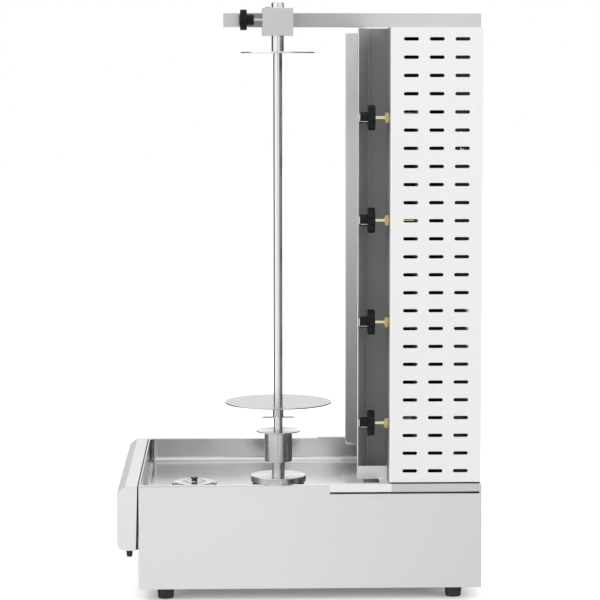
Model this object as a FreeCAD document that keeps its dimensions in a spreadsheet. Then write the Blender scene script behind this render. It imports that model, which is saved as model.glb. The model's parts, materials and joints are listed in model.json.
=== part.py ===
"""Gas doner kebab grill: a sheet steel base with a fat basin and drawer, a motor driven spit,
and a burner tower that slides on the base rim. Millimetres, +Z up, the front faces -Y.
The origin is on the surface it stands on, at the middle of the overall width and depth."""
import FreeCAD, Part
import math
import os
import re
import Sketcher

VECTOR = FreeCAD.Vector
doc = FreeCAD.newDocument("doner_grill")

# The driving sizes: alias, millimetres (or a count, or degrees), and what each one is
SIZES = [
    ("sheet_thick", 1.2, "thickness of the folded steel sheet"),
    ("overcut", 1, "how far a cutting tool runs past the face that it opens"),
    ("base_width", 526, "outside width of the base shell"),
    ("base_depth", 582, "outside depth of the base shell"),
    ("base_height", 177, "underside of the base to the top of its rim"),
    ("shell_corner", 3, "outside bend radius of the shell's four corners"),
    ("foot_height", 20, "rubber foot, height"),
    ("foot_top_dia", 30, "rubber foot, diameter at the top"),
    ("foot_low_dia", 26, "rubber foot, diameter at the bottom"),
    ("foot_screw_dia", 9, "counterbore for the foot's screw"),
    ("foot_screw_depth", 6.7, "depth of that counterbore"),
    ("foot_inset_side", 28, "foot centre to the shell's side"),
    ("foot_inset_end", 45, "foot centre to the shell's front or back"),
    ("rim_side", 13, "width of the basin's rim along the sides"),
    ("rim_front", 3, "width of the basin's rim at the front"),
    ("rim_back", 13, "width of the basin's rim at the back"),
    ("basin_depth", 41.5, "rim top to basin floor"),
    ("basin_corner", 12, "inside radius of the basin's upright corners"),
    ("basin_bend", 9, "inside radius between the basin's walls and floor"),
    ("drain_from_front", 91, "shell front to the drain's centre"),
    ("drain_hole_dia", 60, "hole in the basin floor for the drain"),
    ("drain_flange_dia", 81, "drain flange, outside diameter"),
    ("drain_flange_thick", 2, "drain flange, thickness"),
    ("drain_tail_drop", 8, "drain tail below the basin's underside"),
    ("drain_tail_wall", 1.5, "drain tail, wall"),
    ("basket_dia", 72, "strainer basket plate, diameter"),
    ("basket_thick", 1.5, "strainer basket plate, thickness"),
    ("basket_skirt", 7, "strainer basket skirt, depth in the tail"),
    ("basket_petals", 10, "number of slots in the strainer"),
    ("basket_slot_width", 5, "strainer slot, width"),
    ("basket_slot_inner", 13, "strainer slot, inner end from the centre"),
    ("basket_slot_outer", 22, "strainer slot, outer end from the centre"),
    ("basket_knob_dia", 13, "strainer's lifting knob, diameter"),
    ("basket_knob_height", 9, "strainer's lifting knob, height"),
    ("basket_knob_waist", 7.8, "strainer's lifting knob, diameter of its waist"),
    ("drawer_front_thick", 31.3, "drawer front, thickness at its lower edge"),
    ("drawer_front_lean", 3, "how much thicker the drawer front is at the top"),
    ("drawer_front_gap", 1.7, "gap between the drawer front's top and the shell"),
    ("drawer_front_height", 110, "drawer front, height"),
    ("drawer_slope_depth", 14, "slope along the drawer front's upper edge, front to back"),
    ("drawer_slope_drop", 10.5, "slope along the drawer front's upper edge, height"),
    ("drawer_front_round", 10, "radius along the drawer front's lower edge"),
    ("drawer_side_gap", 58, "drawer box to the shell's outside, each side"),
    ("drawer_height", 42, "drawer box, height"),
    ("drawer_reach", 178, "drawer box behind the shell's front"),
    ("drawer_wall", 1, "drawer box, wall"),
    ("drawer_floor_z", 98, "drawer box underside above the surface"),
    ("drawer_play", 1.5, "gap round the drawer box in its opening"),
    ("runner_thick", 1.5, "drawer runner, sheet thickness"),
    ("runner_height", 20, "drawer runner, height of its wall flange"),
    ("runner_lap", 10, "drawer runner under the box, each side"),
    ("seal_width", 5, "rubber seal at each end of the drawer front, width"),
    ("seal_grip", 4, "seal inside the drawer front"),
    ("seal_play", 0.5, "gap between the seal and the shell"),
    ("bumper_top_dia", 12, "drawer bumper, diameter at the top"),
    ("bumper_low_dia", 9, "drawer bumper, diameter at the bottom"),
    ("bumper_height", 13.5, "drawer bumper, height"),
    ("bumper_inset_side", 18, "bumper centre to the drawer front's end"),
    ("bumper_inset_front", 20, "bumper centre behind the front face"),
    ("spit_from_front", 242.5, "shell front to the spit's axis"),
    ("shaft_dia", 23, "drive shaft, diameter"),
    ("shaft_top_z", 196, "top of the drive shaft above the surface"),
    ("shaft_hole_dia", 30, "hole in the basin floor for the shaft"),
    ("running_play", 0.05, "radial play of the turning fits"),
    ("gasket_dia", 92, "shaft gasket, diameter"),
    ("gasket_thick", 4, "shaft gasket, thickness"),
    ("bearing_dia", 100, "bearing flange, diameter"),
    ("bearing_thick", 11, "bearing flange, thickness"),
    ("bearing_chamfer", 1, "bearing flange, chamfer of its upper edge"),
    ("gearbox_side", 90, "gearbox, length of its sides"),
    ("gearbox_height", 62, "gearbox, height"),
    ("gearbox_corner", 8, "gearbox, corner radius"),
    ("gearbox_bore_depth", 42, "gearbox, depth of the shaft's bore"),
    ("motor_dia", 64, "motor, diameter"),
    ("motor_height", 54, "motor, height"),
    ("motor_chamfer", 3.2, "chamfer of the motor's lower edge"),
    ("motor_boss_dia", 36, "motor's register boss, diameter"),
    ("motor_boss_height", 4, "motor's register boss, height"),
    ("socket_dia", 50, "drive socket, diameter"),
    ("socket_height", 53.5, "drive socket, height"),
    ("socket_floor", 8, "drive socket, thickness under the spit"),
    ("socket_plate_dia", 80, "drip plate on the socket, diameter"),
    ("plate_thick", 2, "thickness of the round plates"),
    ("rod_dia", 16, "spit rod, diameter"),
    ("rod_length", 784, "spit rod, length"),
    ("rod_tip", 2, "spit rod, chamfer of its tip"),
    ("rod_play", 0.1, "radial play round the spit rod where it slides"),
    ("pin_dia", 3, "cross pin, diameter"),
    ("pin_length", 57, "cross pin, length"),
    ("pin_height", 71, "cross pin above the spit rod's foot"),
    ("pin_play", 0.02, "radial play of the pin in the rod"),
    ("collar_dia", 19.4, "collar under the lower meat disc, diameter"),
    ("collar_height", 25.5, "collar under the lower meat disc, height"),
    ("meat_disc_dia", 192, "lower meat disc, diameter"),
    ("arm_side", 25, "square tube of the arm, side"),
    ("arm_wall", 2, "square tube of the arm, wall"),
    ("arm_offset", 33, "arm's centre line to the left of the spit"),
    ("arm_low_z", 974.5, "underside of the arm's beam"),
    ("beam_overhang", 96.5, "beam beyond the spit's axis"),
    ("post_low_z", 45, "lower end of the post"),
    ("cleat_thick", 3, "post cleats, thickness"),
    ("cleat_leg", 20, "post cleats, leg"),
    ("cleat_height", 26, "post cleats, height"),
    ("cleat_low_z", 60, "lower cleats above the surface"),
    ("cleat_pitch", 95, "from the lower cleats to the upper ones"),
    ("block_right", 18, "clamp block to the right of the spit's axis"),
    ("block_left", 18, "clamp block to the left of the beam's centre"),
    ("block_depth", 54.5, "clamp block, front to back"),
    ("block_below", 15.5, "clamp block below the beam"),
    ("block_above", 8.2, "clamp block above the beam"),
    ("block_chamfer", 1, "clamp block, edge chamfer"),
    ("beam_play", 0.15, "gap beside and below the beam in the block"),
    ("set_screw_dia", 6, "clamp block's top screw, diameter"),
    ("set_head_dia", 9.5, "clamp block's top screw, head diameter"),
    ("set_head_height", 2.6, "clamp block's top screw, head height"),
    ("set_screw_from_front", 10, "block front to the top screw"),
    ("sleeve_dia", 22, "guide sleeve, outside diameter"),
    ("sleeve_length", 90, "guide sleeve, length"),
    ("sleeve_cap", 8, "guide sleeve, solid top"),
    ("sleeve_low_z", 928, "underside of the upper meat disc"),
    ("sleeve_play", 0.3, "radial play of the rod in the sleeve"),
    ("sleeve_fit", 0.1, "radial play of the sleeve in the block"),
    ("upper_disc_dia", 133, "upper meat disc, diameter"),
    ("lock_screw_dia", 5, "lock screw, diameter"),
    ("lock_screw_z", 986.8, "lock screw's axis above the surface"),
    ("lock_screw_gap", 15, "bare screw between block and knob"),
    ("lock_hub_dia", 19, "lock knob's hub, diameter"),
    ("lock_hub_length", 12.5, "lock knob's hub, length"),
    ("lock_head_dia", 38, "lock knob's head, diameter"),
    ("lock_head_thick", 12, "lock knob's head, thickness"),
    ("lock_head_boss", 1.2, "lock knob's hub beyond its head"),
    ("lock_grip_dia", 14.4, "round grip cut into the lock knob, diameter"),
    ("lock_grip_depth", 3.4, "round grip cut into the lock knob, depth"),
    ("knob_lobes", 6, "number of grips round each knob"),
    ("knob_chamfer", 1.2, "chamfer of each knob's wheel"),
    ("slide_play", 0.3, "gap between the carriage and the base"),
    ("carriage_thick", 1.5, "carriage, sheet thickness"),
    ("shoe_drop", 13.3, "carriage's side flange, height"),
    ("shoe_length", 256.5, "carriage's side flange, length"),
    ("carriage_lip", 21, "carriage's upright lip beside the burner bay, height"),
    ("lip_inset", 58.5, "lip's outer face to the shell's side"),
    ("deck_lap", 14.5, "carriage's deck ahead of the tower's front"),
    ("guide_height", 3.4, "guide slot under the flange, height"),
    ("guide_gap", 0.4, "guide slot below the flange"),
    ("guide_lead", 0.5, "guide slot's front end to the flange's front"),
    ("guide_end", 4, "guide slot's back end to the shell's back"),
    ("tower_depth", 155, "tower's side panel, depth"),
    ("tower_back_gap", 2, "tower's back ahead of the shell's back"),
    ("tower_low_gap", 2.7, "tower's side panel above the carriage"),
    ("tower_height", 766, "tower's side panel, height"),
    ("panel_bend", 3, "outside bend radius of the side panel's front edge"),
    ("panel_return", 14, "flange of the side panel on the tower's front"),
    ("slot_rows", 25, "rows of vent slots"),
    ("slot_columns", 3, "columns of vent slots"),
    ("slot_row_pitch", 30.3, "vent slots, row to row"),
    ("slot_column_pitch", 43, "vent slots, column to column"),
    ("slot_length", 25, "vent slot, length"),
    ("slot_height", 5.8, "vent slot, height"),
    ("back_slot_rows", 6, "rows of vent slots in each field of the back"),
    ("back_slot_columns", 5, "columns of vent slots in each field of the back"),
    ("bay_inset", 97, "burner bay's side to the tower's outside"),
    ("bay_depth", 31.5, "burner bay's straight side ahead of the tower"),
    ("flare_depth", 18, "flared shield, depth towards the front"),
    ("flare_run", 34, "flared shield, width outwards"),
    ("hem_dia", 3, "rolled edge of the flared shield"),
    ("shield_depth", 99, "inner shield beside the burners, depth"),
    ("shield_play", 1.5, "gap round the pipes in the inner shield"),
    ("burner_height", 150, "burner tray, height"),
    ("burner_thick", 26, "burner tray, depth"),
    ("burner_wall", 1.5, "burner tray, wall"),
    ("burner_setback", 1.5, "burner tray's back ahead of the tower's front"),
    ("plaque_thick", 12, "ceramic plaque, thickness"),
    ("plaque_inset", 5, "ceramic plaque behind the tray's front edge"),
    ("plaque_seam", 1, "joint between two plaques"),
    ("guard_thick", 3, "burner guard, frame thickness"),
    ("guard_border", 6, "burner guard, frame width"),
    ("guard_wire_dia", 1.8, "burner guard, wire"),
    ("guard_wires", 13, "burner guard, number of wires"),
    ("mixer_dia", 22, "burner's mixing tube, diameter"),
    ("mixer_wall", 1.5, "burner's mixing tube, wall"),
    ("mixer_mouth_inset", 16, "mixing tube's mouth to the burner bay's side"),
    ("mixer_end_inset", 46, "mixing tube's closed end to the burner bay's side"),
    ("throat_width", 60, "burner's throat, width"),
    ("throat_height", 18, "burner's throat, height"),
    ("tap_inset", 28, "taps to the tower's outside"),
    ("tap_low_z", 299.5, "lowest tap's axis above the surface"),
    ("tap_pitch", 172.5, "taps and burners, one to the next"),
    ("tap_neck_dia", 13.6, "tap's threaded neck, diameter"),
    ("tap_neck_length", 18, "tap's neck ahead of its body"),
    ("tap_body_dia", 28, "tap body, diameter"),
    ("tap_body_length", 30, "tap body, length"),
    ("tap_spigot_dia", 15, "tap's spigot in the manifold, diameter"),
    ("tap_spigot_length", 6, "tap's spigot in the manifold, length"),
    ("plug_dia", 18, "tap plug, diameter"),
    ("plug_length", 21, "tap plug, length"),
    ("stem_dia", 6, "tap stem, diameter"),
    ("stem_push", 4, "how far a tap is pushed in"),
    ("stem_in_plug", 5, "tap stem inside its plug at rest"),
    ("nut_across", 18, "tap nut, across flats"),
    ("nut_thick", 7, "tap nut, thickness"),
    ("neck_proud", 1, "tap's neck ahead of its nut"),
    ("knob_gap", 17.2, "bare stem between nut and knob"),
    ("knob_wheel_dia", 44, "burner knob's wheel, diameter"),
    ("knob_wheel_thick", 11.7, "burner knob's wheel, thickness"),
    ("knob_grip_dia", 16.7, "round grip cut into the burner knob, diameter"),
    ("knob_grip_depth", 4, "round grip cut into the burner knob, depth"),
    ("knob_boss_dia", 20, "burner knob's boss, diameter at the wheel"),
    ("knob_boss_tip_dia", 18.5, "burner knob's boss, diameter at the tip"),
    ("knob_boss_length", 14.5, "burner knob's boss, length"),
    ("knob_boss_edge", 1, "chamfer of the boss's tip"),
    ("manifold_dia", 24, "gas manifold, diameter"),
    ("manifold_below", 45, "manifold below the lowest tap"),
    ("manifold_above", 30, "manifold above the highest tap"),
    ("feed_dia", 18, "gas feed pipe, diameter"),
    ("elbow_grow", 2, "elbow beyond the feed pipe, all round"),
    ("inlet_x", 60, "gas inlet right of the middle"),
    ("inlet_dia", 20.96, "gas inlet's outside thread, diameter"),
    ("inlet_nut_across", 30, "gas inlet's nuts, across flats"),
    ("inlet_nut_thick", 5, "gas inlet's nuts, thickness"),
    ("inlet_bore", 12, "gas inlet, bore"),
    ("inlet_reach", 20, "gas inlet behind the tower's back"),
    ("inlet_hole_play", 0.5, "gap round the inlet in the back panel"),
    ("inlet_rise", 20, "gas inlet above the manifold's lower end"),
    ("pipe_dia", 8, "injector pipe, diameter"),
    ("injector_dia", 13, "injector, diameter"),
    ("injector_length", 14, "injector, length"),
    ("injector_gap", 6, "injector to the mixing tube's mouth"),
    ("switch_inset", 93, "motor switch to the shell's left side"),
    ("switch_z", 120, "motor switch above the surface"),
    ("switch_width", 30, "motor switch bezel, width"),
    ("switch_height", 22, "motor switch bezel, height"),
    ("switch_bezel", 2, "motor switch bezel, thickness"),
    ("switch_body_inset", 1.4, "bezel beyond the switch's body, each side"),
    ("switch_body_depth", 22, "motor switch body inside the shell"),
    ("switch_cavity_depth", 12, "depth of the rocker's cavity"),
    ("rocker_width", 22, "rocker, width"),
    ("rocker_height", 15, "rocker, height"),
    ("rocker_play", 0.4, "gap round the rocker"),
    ("rocker_tilt", 9, "rocker's tilt to each side, degrees"),
    ("rocker_crown", 4, "rocker's edge beyond its pivot"),
    ("rocker_reach", 7.2, "rocker's pivot to its ends"),
    ("rocker_belly", 6.5, "radius of the rocker's round back"),
    ("gland_inset", 93, "supply inlet to the shell's left side"),
    ("gland_z", 62, "supply inlet above the surface"),
    ("gland_dia", 20, "supply inlet nut, diameter"),
    ("gland_bore", 8, "supply inlet, bore"),
    ("gland_thread_dia", 15.5, "supply inlet thread through the shell"),
    ("gland_reach", 18, "supply inlet behind the shell"),
    ("gland_nut_length", 10.8, "supply inlet nut, length"),
    ("gland_tip_dia", 16, "supply inlet, diameter at its tip"),
    ("gland_inside", 12, "supply inlet inside the shell"),
]

BURNERS = 4
RIGHT = 1
LEFT = -1

# Places that follow from the driving sizes
PLACES = {
    "overall_depth": "drawer_front_thick + drawer_front_lean + drawer_front_gap + base_depth + arm_side",
    "front_y": "-(overall_depth)/2",
    "shell_front_y": "front_y + drawer_front_thick + drawer_front_lean + drawer_front_gap",
    "shell_back_y": "shell_front_y + base_depth",
    "half_width": "base_width/2",
    "inner_half": "half_width - sheet_thick",
    "drawer_width": "base_width - 2*drawer_side_gap",
    "rim_z": "foot_height + base_height",
    "shell_top_z": "rim_z - sheet_thick",
    "basin_floor_z": "rim_z - basin_depth",
    "basin_under_z": "basin_floor_z - sheet_thick",
    "spit_y": "shell_front_y + spit_from_front",
    "drain_y": "shell_front_y + drain_from_front",
    "drain_tail_radius": "drain_hole_dia/2 - running_play",
    "drawer_front_z": "rim_z - drawer_front_height",
    "drawer_back_y": "shell_front_y + drawer_reach",
    "drawer_top_z": "drawer_floor_z + drawer_height",
    "bearing_z": "basin_floor_z + gasket_thick",
    "shaft_low_z": "basin_under_z - gearbox_bore_depth",
    "gearbox_low_z": "basin_under_z - gearbox_height",
    "socket_top_z": "shaft_top_z + socket_height",
    "rod_low_z": "shaft_top_z + socket_floor",
    "pin_z": "rod_low_z + pin_height",
    "collar_low_z": "pin_z + pin_dia/2",
    "disc_z": "collar_low_z + collar_height",
    "arm_top_z": "arm_low_z + arm_side",
    "arm_back_y": "shell_back_y + arm_side",
    "beam_front_y": "spit_y - beam_overhang",
    "arm_left_x": "-arm_offset - arm_side/2",
    "block_front_y": "spit_y - block_depth/2",
    "block_low_z": "arm_low_z - block_below",
    "block_top_z": "arm_top_z + block_above",
    "carriage_low_z": "rim_z + slide_play",
    "carriage_top_z": "carriage_low_z + carriage_thick",
    "shoe_inner_x": "half_width + slide_play",
    "shoe_outer_x": "shoe_inner_x + carriage_thick",
    "tower_back_y": "shell_back_y - tower_back_gap",
    "tower_front_y": "tower_back_y - tower_depth",
    "shoe_front_y": "tower_back_y - shoe_length",
    "shoe_low_z": "carriage_top_z - shoe_drop",
    "deck_front_y": "tower_front_y - deck_lap",
    "guide_front_y": "shoe_front_y + guide_lead",
    "guide_back_y": "shell_back_y - guide_end",
    "guide_z": "shoe_low_z - guide_gap - guide_height/2",
    "tower_low_z": "carriage_top_z + tower_low_gap",
    "tower_top_z": "tower_low_z + tower_height",
    "lid_low_z": "tower_top_z - sheet_thick",
    "bay_half_width": "half_width - bay_inset",
    "wing_outer_x": "bay_half_width + sheet_thick",
    "flare_back_y": "tower_front_y - bay_depth",
    "flare_front_y": "flare_back_y - flare_depth",
    "flare_tip_x": "wing_outer_x + flare_run",
    "flare_length": "sqrt(flare_run^2 + flare_depth^2)",
    "shelf_front_y": "flare_front_y - hem_dia/2",
    "lip_outer_x": "half_width - lip_inset",
    "burner_back_y": "tower_front_y - burner_setback",
    "burner_front_y": "burner_back_y - burner_thick",
    "neck_front_y": "tower_front_y - nut_thick - neck_proud",
    "tap_body_y": "neck_front_y + tap_neck_length",
    "tap_back_y": "tap_body_y + tap_body_length",
    "manifold_y": "tap_back_y + manifold_dia/2",
    "plug_y": "tap_body_y + (tap_body_length - plug_length)/2",
    "mixer_y": "tap_body_y + tap_body_length/2",
    "mixer_mouth_x": "bay_half_width - mixer_mouth_inset",
    "mixer_length": "2*bay_half_width - mixer_mouth_inset - mixer_end_inset",
    "tap_x": "half_width - tap_inset",
    "nut_front_y": "tower_front_y - nut_thick",
    "knob_back_y": "nut_front_y - knob_gap",
    "tap_top_z": f"tap_low_z + {BURNERS - 1}*tap_pitch",
    "manifold_low_z": "tap_low_z - manifold_below",
    "inlet_z": "manifold_low_z + inlet_rise",
    "switch_x": "half_width - switch_inset",
    "gland_x": "half_width - gland_inset",
}

sheet = doc.addObject("Spreadsheet::Sheet", "Sizes")
for row, (alias, value, note) in enumerate(SIZES, start=1):
    sheet.set(f"A{row}", note)
    sheet.set(f"B{row}", str(value))
    sheet.setAlias(f"B{row}", alias)
doc.recompute()

ALIASES = {alias for alias, value, note in SIZES}
NODES = {}


def bound(text):
    """A size formula with each place worked out and each size read from the sheet."""
    def swap(match):
        word = match.group(0)
        if word in PLACES:
            return "(" + bound(PLACES[word]) + ")"
        return "Sizes." + word if word in ALIASES else word
    return re.sub(r"[a-z][a-z_]*[a-z]", swap, str(text))


def number(text):
    """The value in millimetres of a size formula."""
    value = sheet.evalExpression(bound(text))
    return float(getattr(value, "Value", value))


def bind(thing, **properties):
    for name, text in properties.items():
        thing.setExpression(name, bound(text))


def place(thing, x="0", y="0", z="0"):
    for axis, text in zip("xyz", (x, y, z)):
        thing.setExpression(f"Placement.Base.{axis}", bound(text))


def node(name, thing):
    """Name a finished sub-part."""
    thing.Label = name
    NODES[name] = thing
    return thing


# Primitives and booleans
def box(x0, x1, y0, y1, z0, z1):
    made = doc.addObject("Part::Box", "box")
    bind(made, Length=f"({x1}) - ({x0})", Width=f"({y1}) - ({y0})", Height=f"({z1}) - ({z0})")
    place(made, x0, y0, z0)
    return made


TURNED = {
    "z": FreeCAD.Rotation(),
    "y": FreeCAD.Rotation(VECTOR(1, 0, 0), -90),
    "x": FreeCAD.Rotation(VECTOR(0, 1, 0), 90),
}
FACING_FRONT = FreeCAD.Rotation(VECTOR(1, 0, 0), 90)


def rod(x, y, z, radius, length, axis="z"):
    """A cylinder that starts at x, y, z and runs along an axis."""
    made = doc.addObject("Part::Cylinder", "rod")
    bind(made, Radius=radius, Height=length)
    made.Placement.Rotation = TURNED[axis]
    place(made, x, y, z)
    return made


def cone(x, y, z, low_radius, top_radius, height):
    made = doc.addObject("Part::Cone", "cone")
    bind(made, Radius1=low_radius, Radius2=top_radius, Height=height)
    place(made, x, y, z)
    return made


def fuse(*parts):
    made = doc.addObject("Part::MultiFuse", "fuse")
    made.Shapes = list(parts)
    made.Refine = True
    return made


def cut(base, *tools):
    made = doc.addObject("Part::Cut", "cut")
    made.Base = base
    made.Tool = tools[0] if len(tools) == 1 else fuse(*tools)
    made.Refine = True
    return made


def group(*parts):
    """Like pieces that share a node, each its own solid."""
    made = doc.addObject("Part::Compound", "group")
    made.Links = list(parts)
    return made


# Sketches and features of a body
def new_body():
    return doc.addObject("PartDesign::Body", "body")


def sketch(body, plane, offset="0"):
    made = body.newObject("Sketcher::SketchObject", "sketch")
    origin_plane = next(f for f in body.Origin.OriginFeatures if f.Role == plane + "_Plane")
    made.AttachmentSupport = [(origin_plane, "")]
    made.MapMode = "FlatFace"
    made.setExpression("AttachmentOffset.Base.z", bound(offset))
    return made


def fix(on, kind, index, point, text):
    """Hold one coordinate of a point of a sketch to a size formula."""
    held = on.addConstraint(Sketcher.Constraint(kind, -1, 1, index, point, number(text)))
    on.setExpression(f"Constraints[{held}]", bound(text))


def outline(on, corners):
    """A closed outline through corners (u, v). A corner (u, v, centre_u, centre_v, turn) starts
    an arc to the next corner, whose turn is left for anticlockwise and right for clockwise."""
    points = [VECTOR(number(c[0]), number(c[1]), 0) for c in corners]
    ends = []
    for i, corner in enumerate(corners):
        start, finish = points[i], points[(i + 1) % len(points)]
        if len(corner) == 2:
            index = on.addGeometry(Part.LineSegment(start, finish), False)
            ends.append((index, 1, 2))
            continue
        centre = VECTOR(number(corner[2]), number(corner[3]), 0)
        first, last = (start, finish) if corner[4] == "left" else (finish, start)
        angles = [math.atan2(p.y - centre.y, p.x - centre.x) for p in (first, last)]
        whole = Part.Circle(centre, VECTOR(0, 0, 1), start.distanceToPoint(centre))
        index = on.addGeometry(Part.ArcOfCircle(whole, angles[0], angles[1]), False)
        ends.append((index, 1, 2) if corner[4] == "left" else (index, 2, 1))
        upright = abs(finish.y - start.y) >= abs(finish.x - start.x)
        fix(on, "DistanceX" if upright else "DistanceY", index, 3, corner[2] if upright else corner[3])
    for i, (index, start, finish) in enumerate(ends):
        after, after_start, after_finish = ends[(i + 1) % len(ends)]
        on.addConstraint(Sketcher.Constraint("Coincident", index, finish, after, after_start))
        fix(on, "DistanceX", index, start, corners[i][0])
        fix(on, "DistanceY", index, start, corners[i][1])
    return on


def circle(on, u, v, radius):
    centre = VECTOR(number(u), number(v), 0)
    index = on.addGeometry(Part.Circle(centre, VECTOR(0, 0, 1), number(radius)), False)
    fix(on, "DistanceX", index, 3, u)
    fix(on, "DistanceY", index, 3, v)
    size = on.addConstraint(Sketcher.Constraint("Radius", index, number(radius)))
    on.setExpression(f"Constraints[{size}]", bound(radius))
    return on


def rectangle(on, u0, u1, v0, v1, radius=None):
    """A rectangle, with round corners if a radius is given."""
    if radius is None:
        return outline(on, [(u0, v0), (u1, v0), (u1, v1), (u0, v1)])
    left, right = f"({u0}) + ({radius})", f"({u1}) - ({radius})"
    low, high = f"({v0}) + ({radius})", f"({v1}) - ({radius})"
    return outline(on, [
        (left, v0), (right, v0, right, low, "left"),
        (u1, low), (u1, high, right, high, "left"),
        (right, v1), (left, v1, left, high, "left"),
        (u0, high), (u0, low, left, low, "left"),
    ])


def slot(on, u, v, length, height):
    """A slot with round ends, lying along u."""
    radius = f"({height})/2"
    left, right = f"({u}) - ({length})/2 + {radius}", f"({u}) + ({length})/2 - {radius}"
    low, high = f"({v}) - {radius}", f"({v}) + {radius}"
    return outline(on, [(left, low), (right, low, right, v, "left"),
                        (right, high), (left, high, left, v, "left")])


def pad(body, profile, length, back=False):
    made = body.newObject("PartDesign::Pad", "pad")
    made.Profile = profile
    made.setExpression("Length", bound(length))
    made.Reversed = back
    body.Tip = made
    doc.recompute()
    return made


def pocket(body, profile, length=None, back=False):
    """Cut a profile away, right through or to a length, and make sure that it cut something."""
    before = body.Shape.Volume
    made = body.newObject("PartDesign::Pocket", "pocket")
    made.Profile = profile
    made.Reversed = back
    if length is None:
        made.Type = "ThroughAll"
    else:
        made.setExpression("Length", bound(length))
    body.Tip = made
    doc.recompute()
    if made.Shape.Volume >= before:
        raise RuntimeError("a pocket cuts nothing")
    return made


def repeat(body, feature, profile, axis, pitch, count):
    made = body.newObject("PartDesign::LinearPattern", "row")
    made.Originals = [feature]
    made.Direction = (profile, [axis])
    made.setExpression("Length", bound(f"({pitch})*(({count}) - 1)"))
    made.setExpression("Occurrences", bound(count))
    body.Tip = made
    doc.recompute()
    return made


def repeat_round(body, feature, profile, count):
    made = body.newObject("PartDesign::PolarPattern", "ring")
    made.Originals = [feature]
    made.Axis = (profile, ["N_Axis"])
    made.setExpression("Occurrences", bound(count))
    body.Tip = made
    doc.recompute()
    return made


def repeat_grid(body, feature, profile, columns, rows):
    """Copies of a vent slot in columns and rows."""
    grid = body.newObject("PartDesign::MultiTransform", "grid")
    grid.Originals = [feature]
    runs = []
    ways = (("H_Axis", "slot_column_pitch", columns), ("V_Axis", "slot_row_pitch", rows))
    for axis, pitch, count in ways:
        run = doc.addObject("PartDesign::LinearPattern", "run")
        body.addObject(run)
        run.Direction = (profile, [axis])
        run.setExpression("Length", bound(f"{pitch}*({count} - 1)"))
        run.setExpression("Occurrences", bound(count))
        runs.append(run)
    grid.Transformations = runs
    body.Tip = grid
    doc.recompute()
    return grid


def revolve(body, corners):
    """A turned solid from corners (radius, height) about the body's own Z axis."""
    made = body.newObject("PartDesign::Revolution", "turned")
    profile = outline(sketch(body, "XZ"), corners)
    made.Profile = profile
    made.ReferenceAxis = (profile, ["V_Axis"])
    made.Angle = 360
    body.Tip = made
    doc.recompute()
    return made


def soften(body, kind, size, chosen):
    """A fillet or chamfer on the edges of the body's tip that chosen(edge) picks."""
    tip = body.Tip
    names = [f"Edge{i}" for i, edge in enumerate(tip.Shape.Edges, start=1) if chosen(edge)]
    made = body.newObject("PartDesign::" + kind, kind.lower())
    made.Base = (tip, names)
    made.setExpression("Radius" if kind == "Fillet" else "Size", bound(size))
    body.Tip = made
    doc.recompute()
    return made


def level_with(height):
    """Edges that lie flat at a height."""
    z = number(height)
    return lambda edge: edge.BoundBox.ZLength < 0.01 and abs(edge.BoundBox.ZMin - z) < 0.01


def on_spit_axis(body):
    place(body, "0", "spit_y", "0")
    return body


# Base shell: the four walls, folded from one sheet, with the drawer opening in front and a guide
# slot along each side
def make_base_shell():
    body = new_body()
    outer = rectangle(sketch(body, "XY", "foot_height"), "-half_width", "half_width",
                      "shell_front_y", "shell_back_y", "shell_corner")
    pad(body, outer, "shell_top_z - foot_height")
    inner = rectangle(sketch(body, "XY", "foot_height"), "-inner_half", "inner_half",
                      "shell_front_y + sheet_thick", "shell_back_y - sheet_thick",
                      "shell_corner - sheet_thick")
    pocket(body, inner, back=True)
    opening = rectangle(sketch(body, "XZ", "-(shell_front_y)"),
                        "-(drawer_width/2 + drawer_play)", "drawer_width/2 + drawer_play",
                        "drawer_floor_z - drawer_play", "drawer_top_z + drawer_play")
    pocket(body, opening, "sheet_thick")
    switch = rectangle(sketch(body, "XZ", "-(shell_back_y)"),
                       "-switch_x - switch_width/2 + switch_body_inset",
                       "-switch_x + switch_width/2 - switch_body_inset",
                       "switch_z - switch_height/2 + switch_body_inset",
                       "switch_z + switch_height/2 - switch_body_inset")
    pocket(body, switch, "sheet_thick", back=True)
    gland = circle(sketch(body, "XZ", "-(shell_back_y)"), "-gland_x", "gland_z", "gland_thread_dia/2")
    pocket(body, gland, "sheet_thick", back=True)
    for side in (LEFT, RIGHT):
        guide = slot(sketch(body, "YZ", f"{side}*half_width"), "(guide_front_y + guide_back_y)/2",
                     "guide_z", "guide_back_y - (guide_front_y)", "guide_height")
        pocket(body, guide, "sheet_thick", back=(side == LEFT))
    return node("base_shell", body)


# Floor pan: the plate that closes the base from below
def make_base_floor_pan():
    body = new_body()
    plan = rectangle(sketch(body, "XY", "foot_height"), "-inner_half", "inner_half",
                     "shell_front_y + sheet_thick", "shell_back_y - sheet_thick",
                     "shell_corner - sheet_thick")
    pad(body, plan, "sheet_thick")
    return node("base_floor_pan", body)


# Feet: four tapered rubber feet, each with its screw's counterbore
def make_feet():
    feet = []
    for side in ("-(half_width - foot_inset_side)", "half_width - foot_inset_side"):
        for end in ("shell_front_y + foot_inset_end", "shell_back_y - foot_inset_end"):
            foot = cone(side, end, "0", "foot_low_dia/2", "foot_top_dia/2", "foot_height")
            recess = rod(side, end, "0", "foot_screw_dia/2", "foot_screw_depth")
            feet.append(cut(foot, recess))
    return node("feet", group(*feet))


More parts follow.
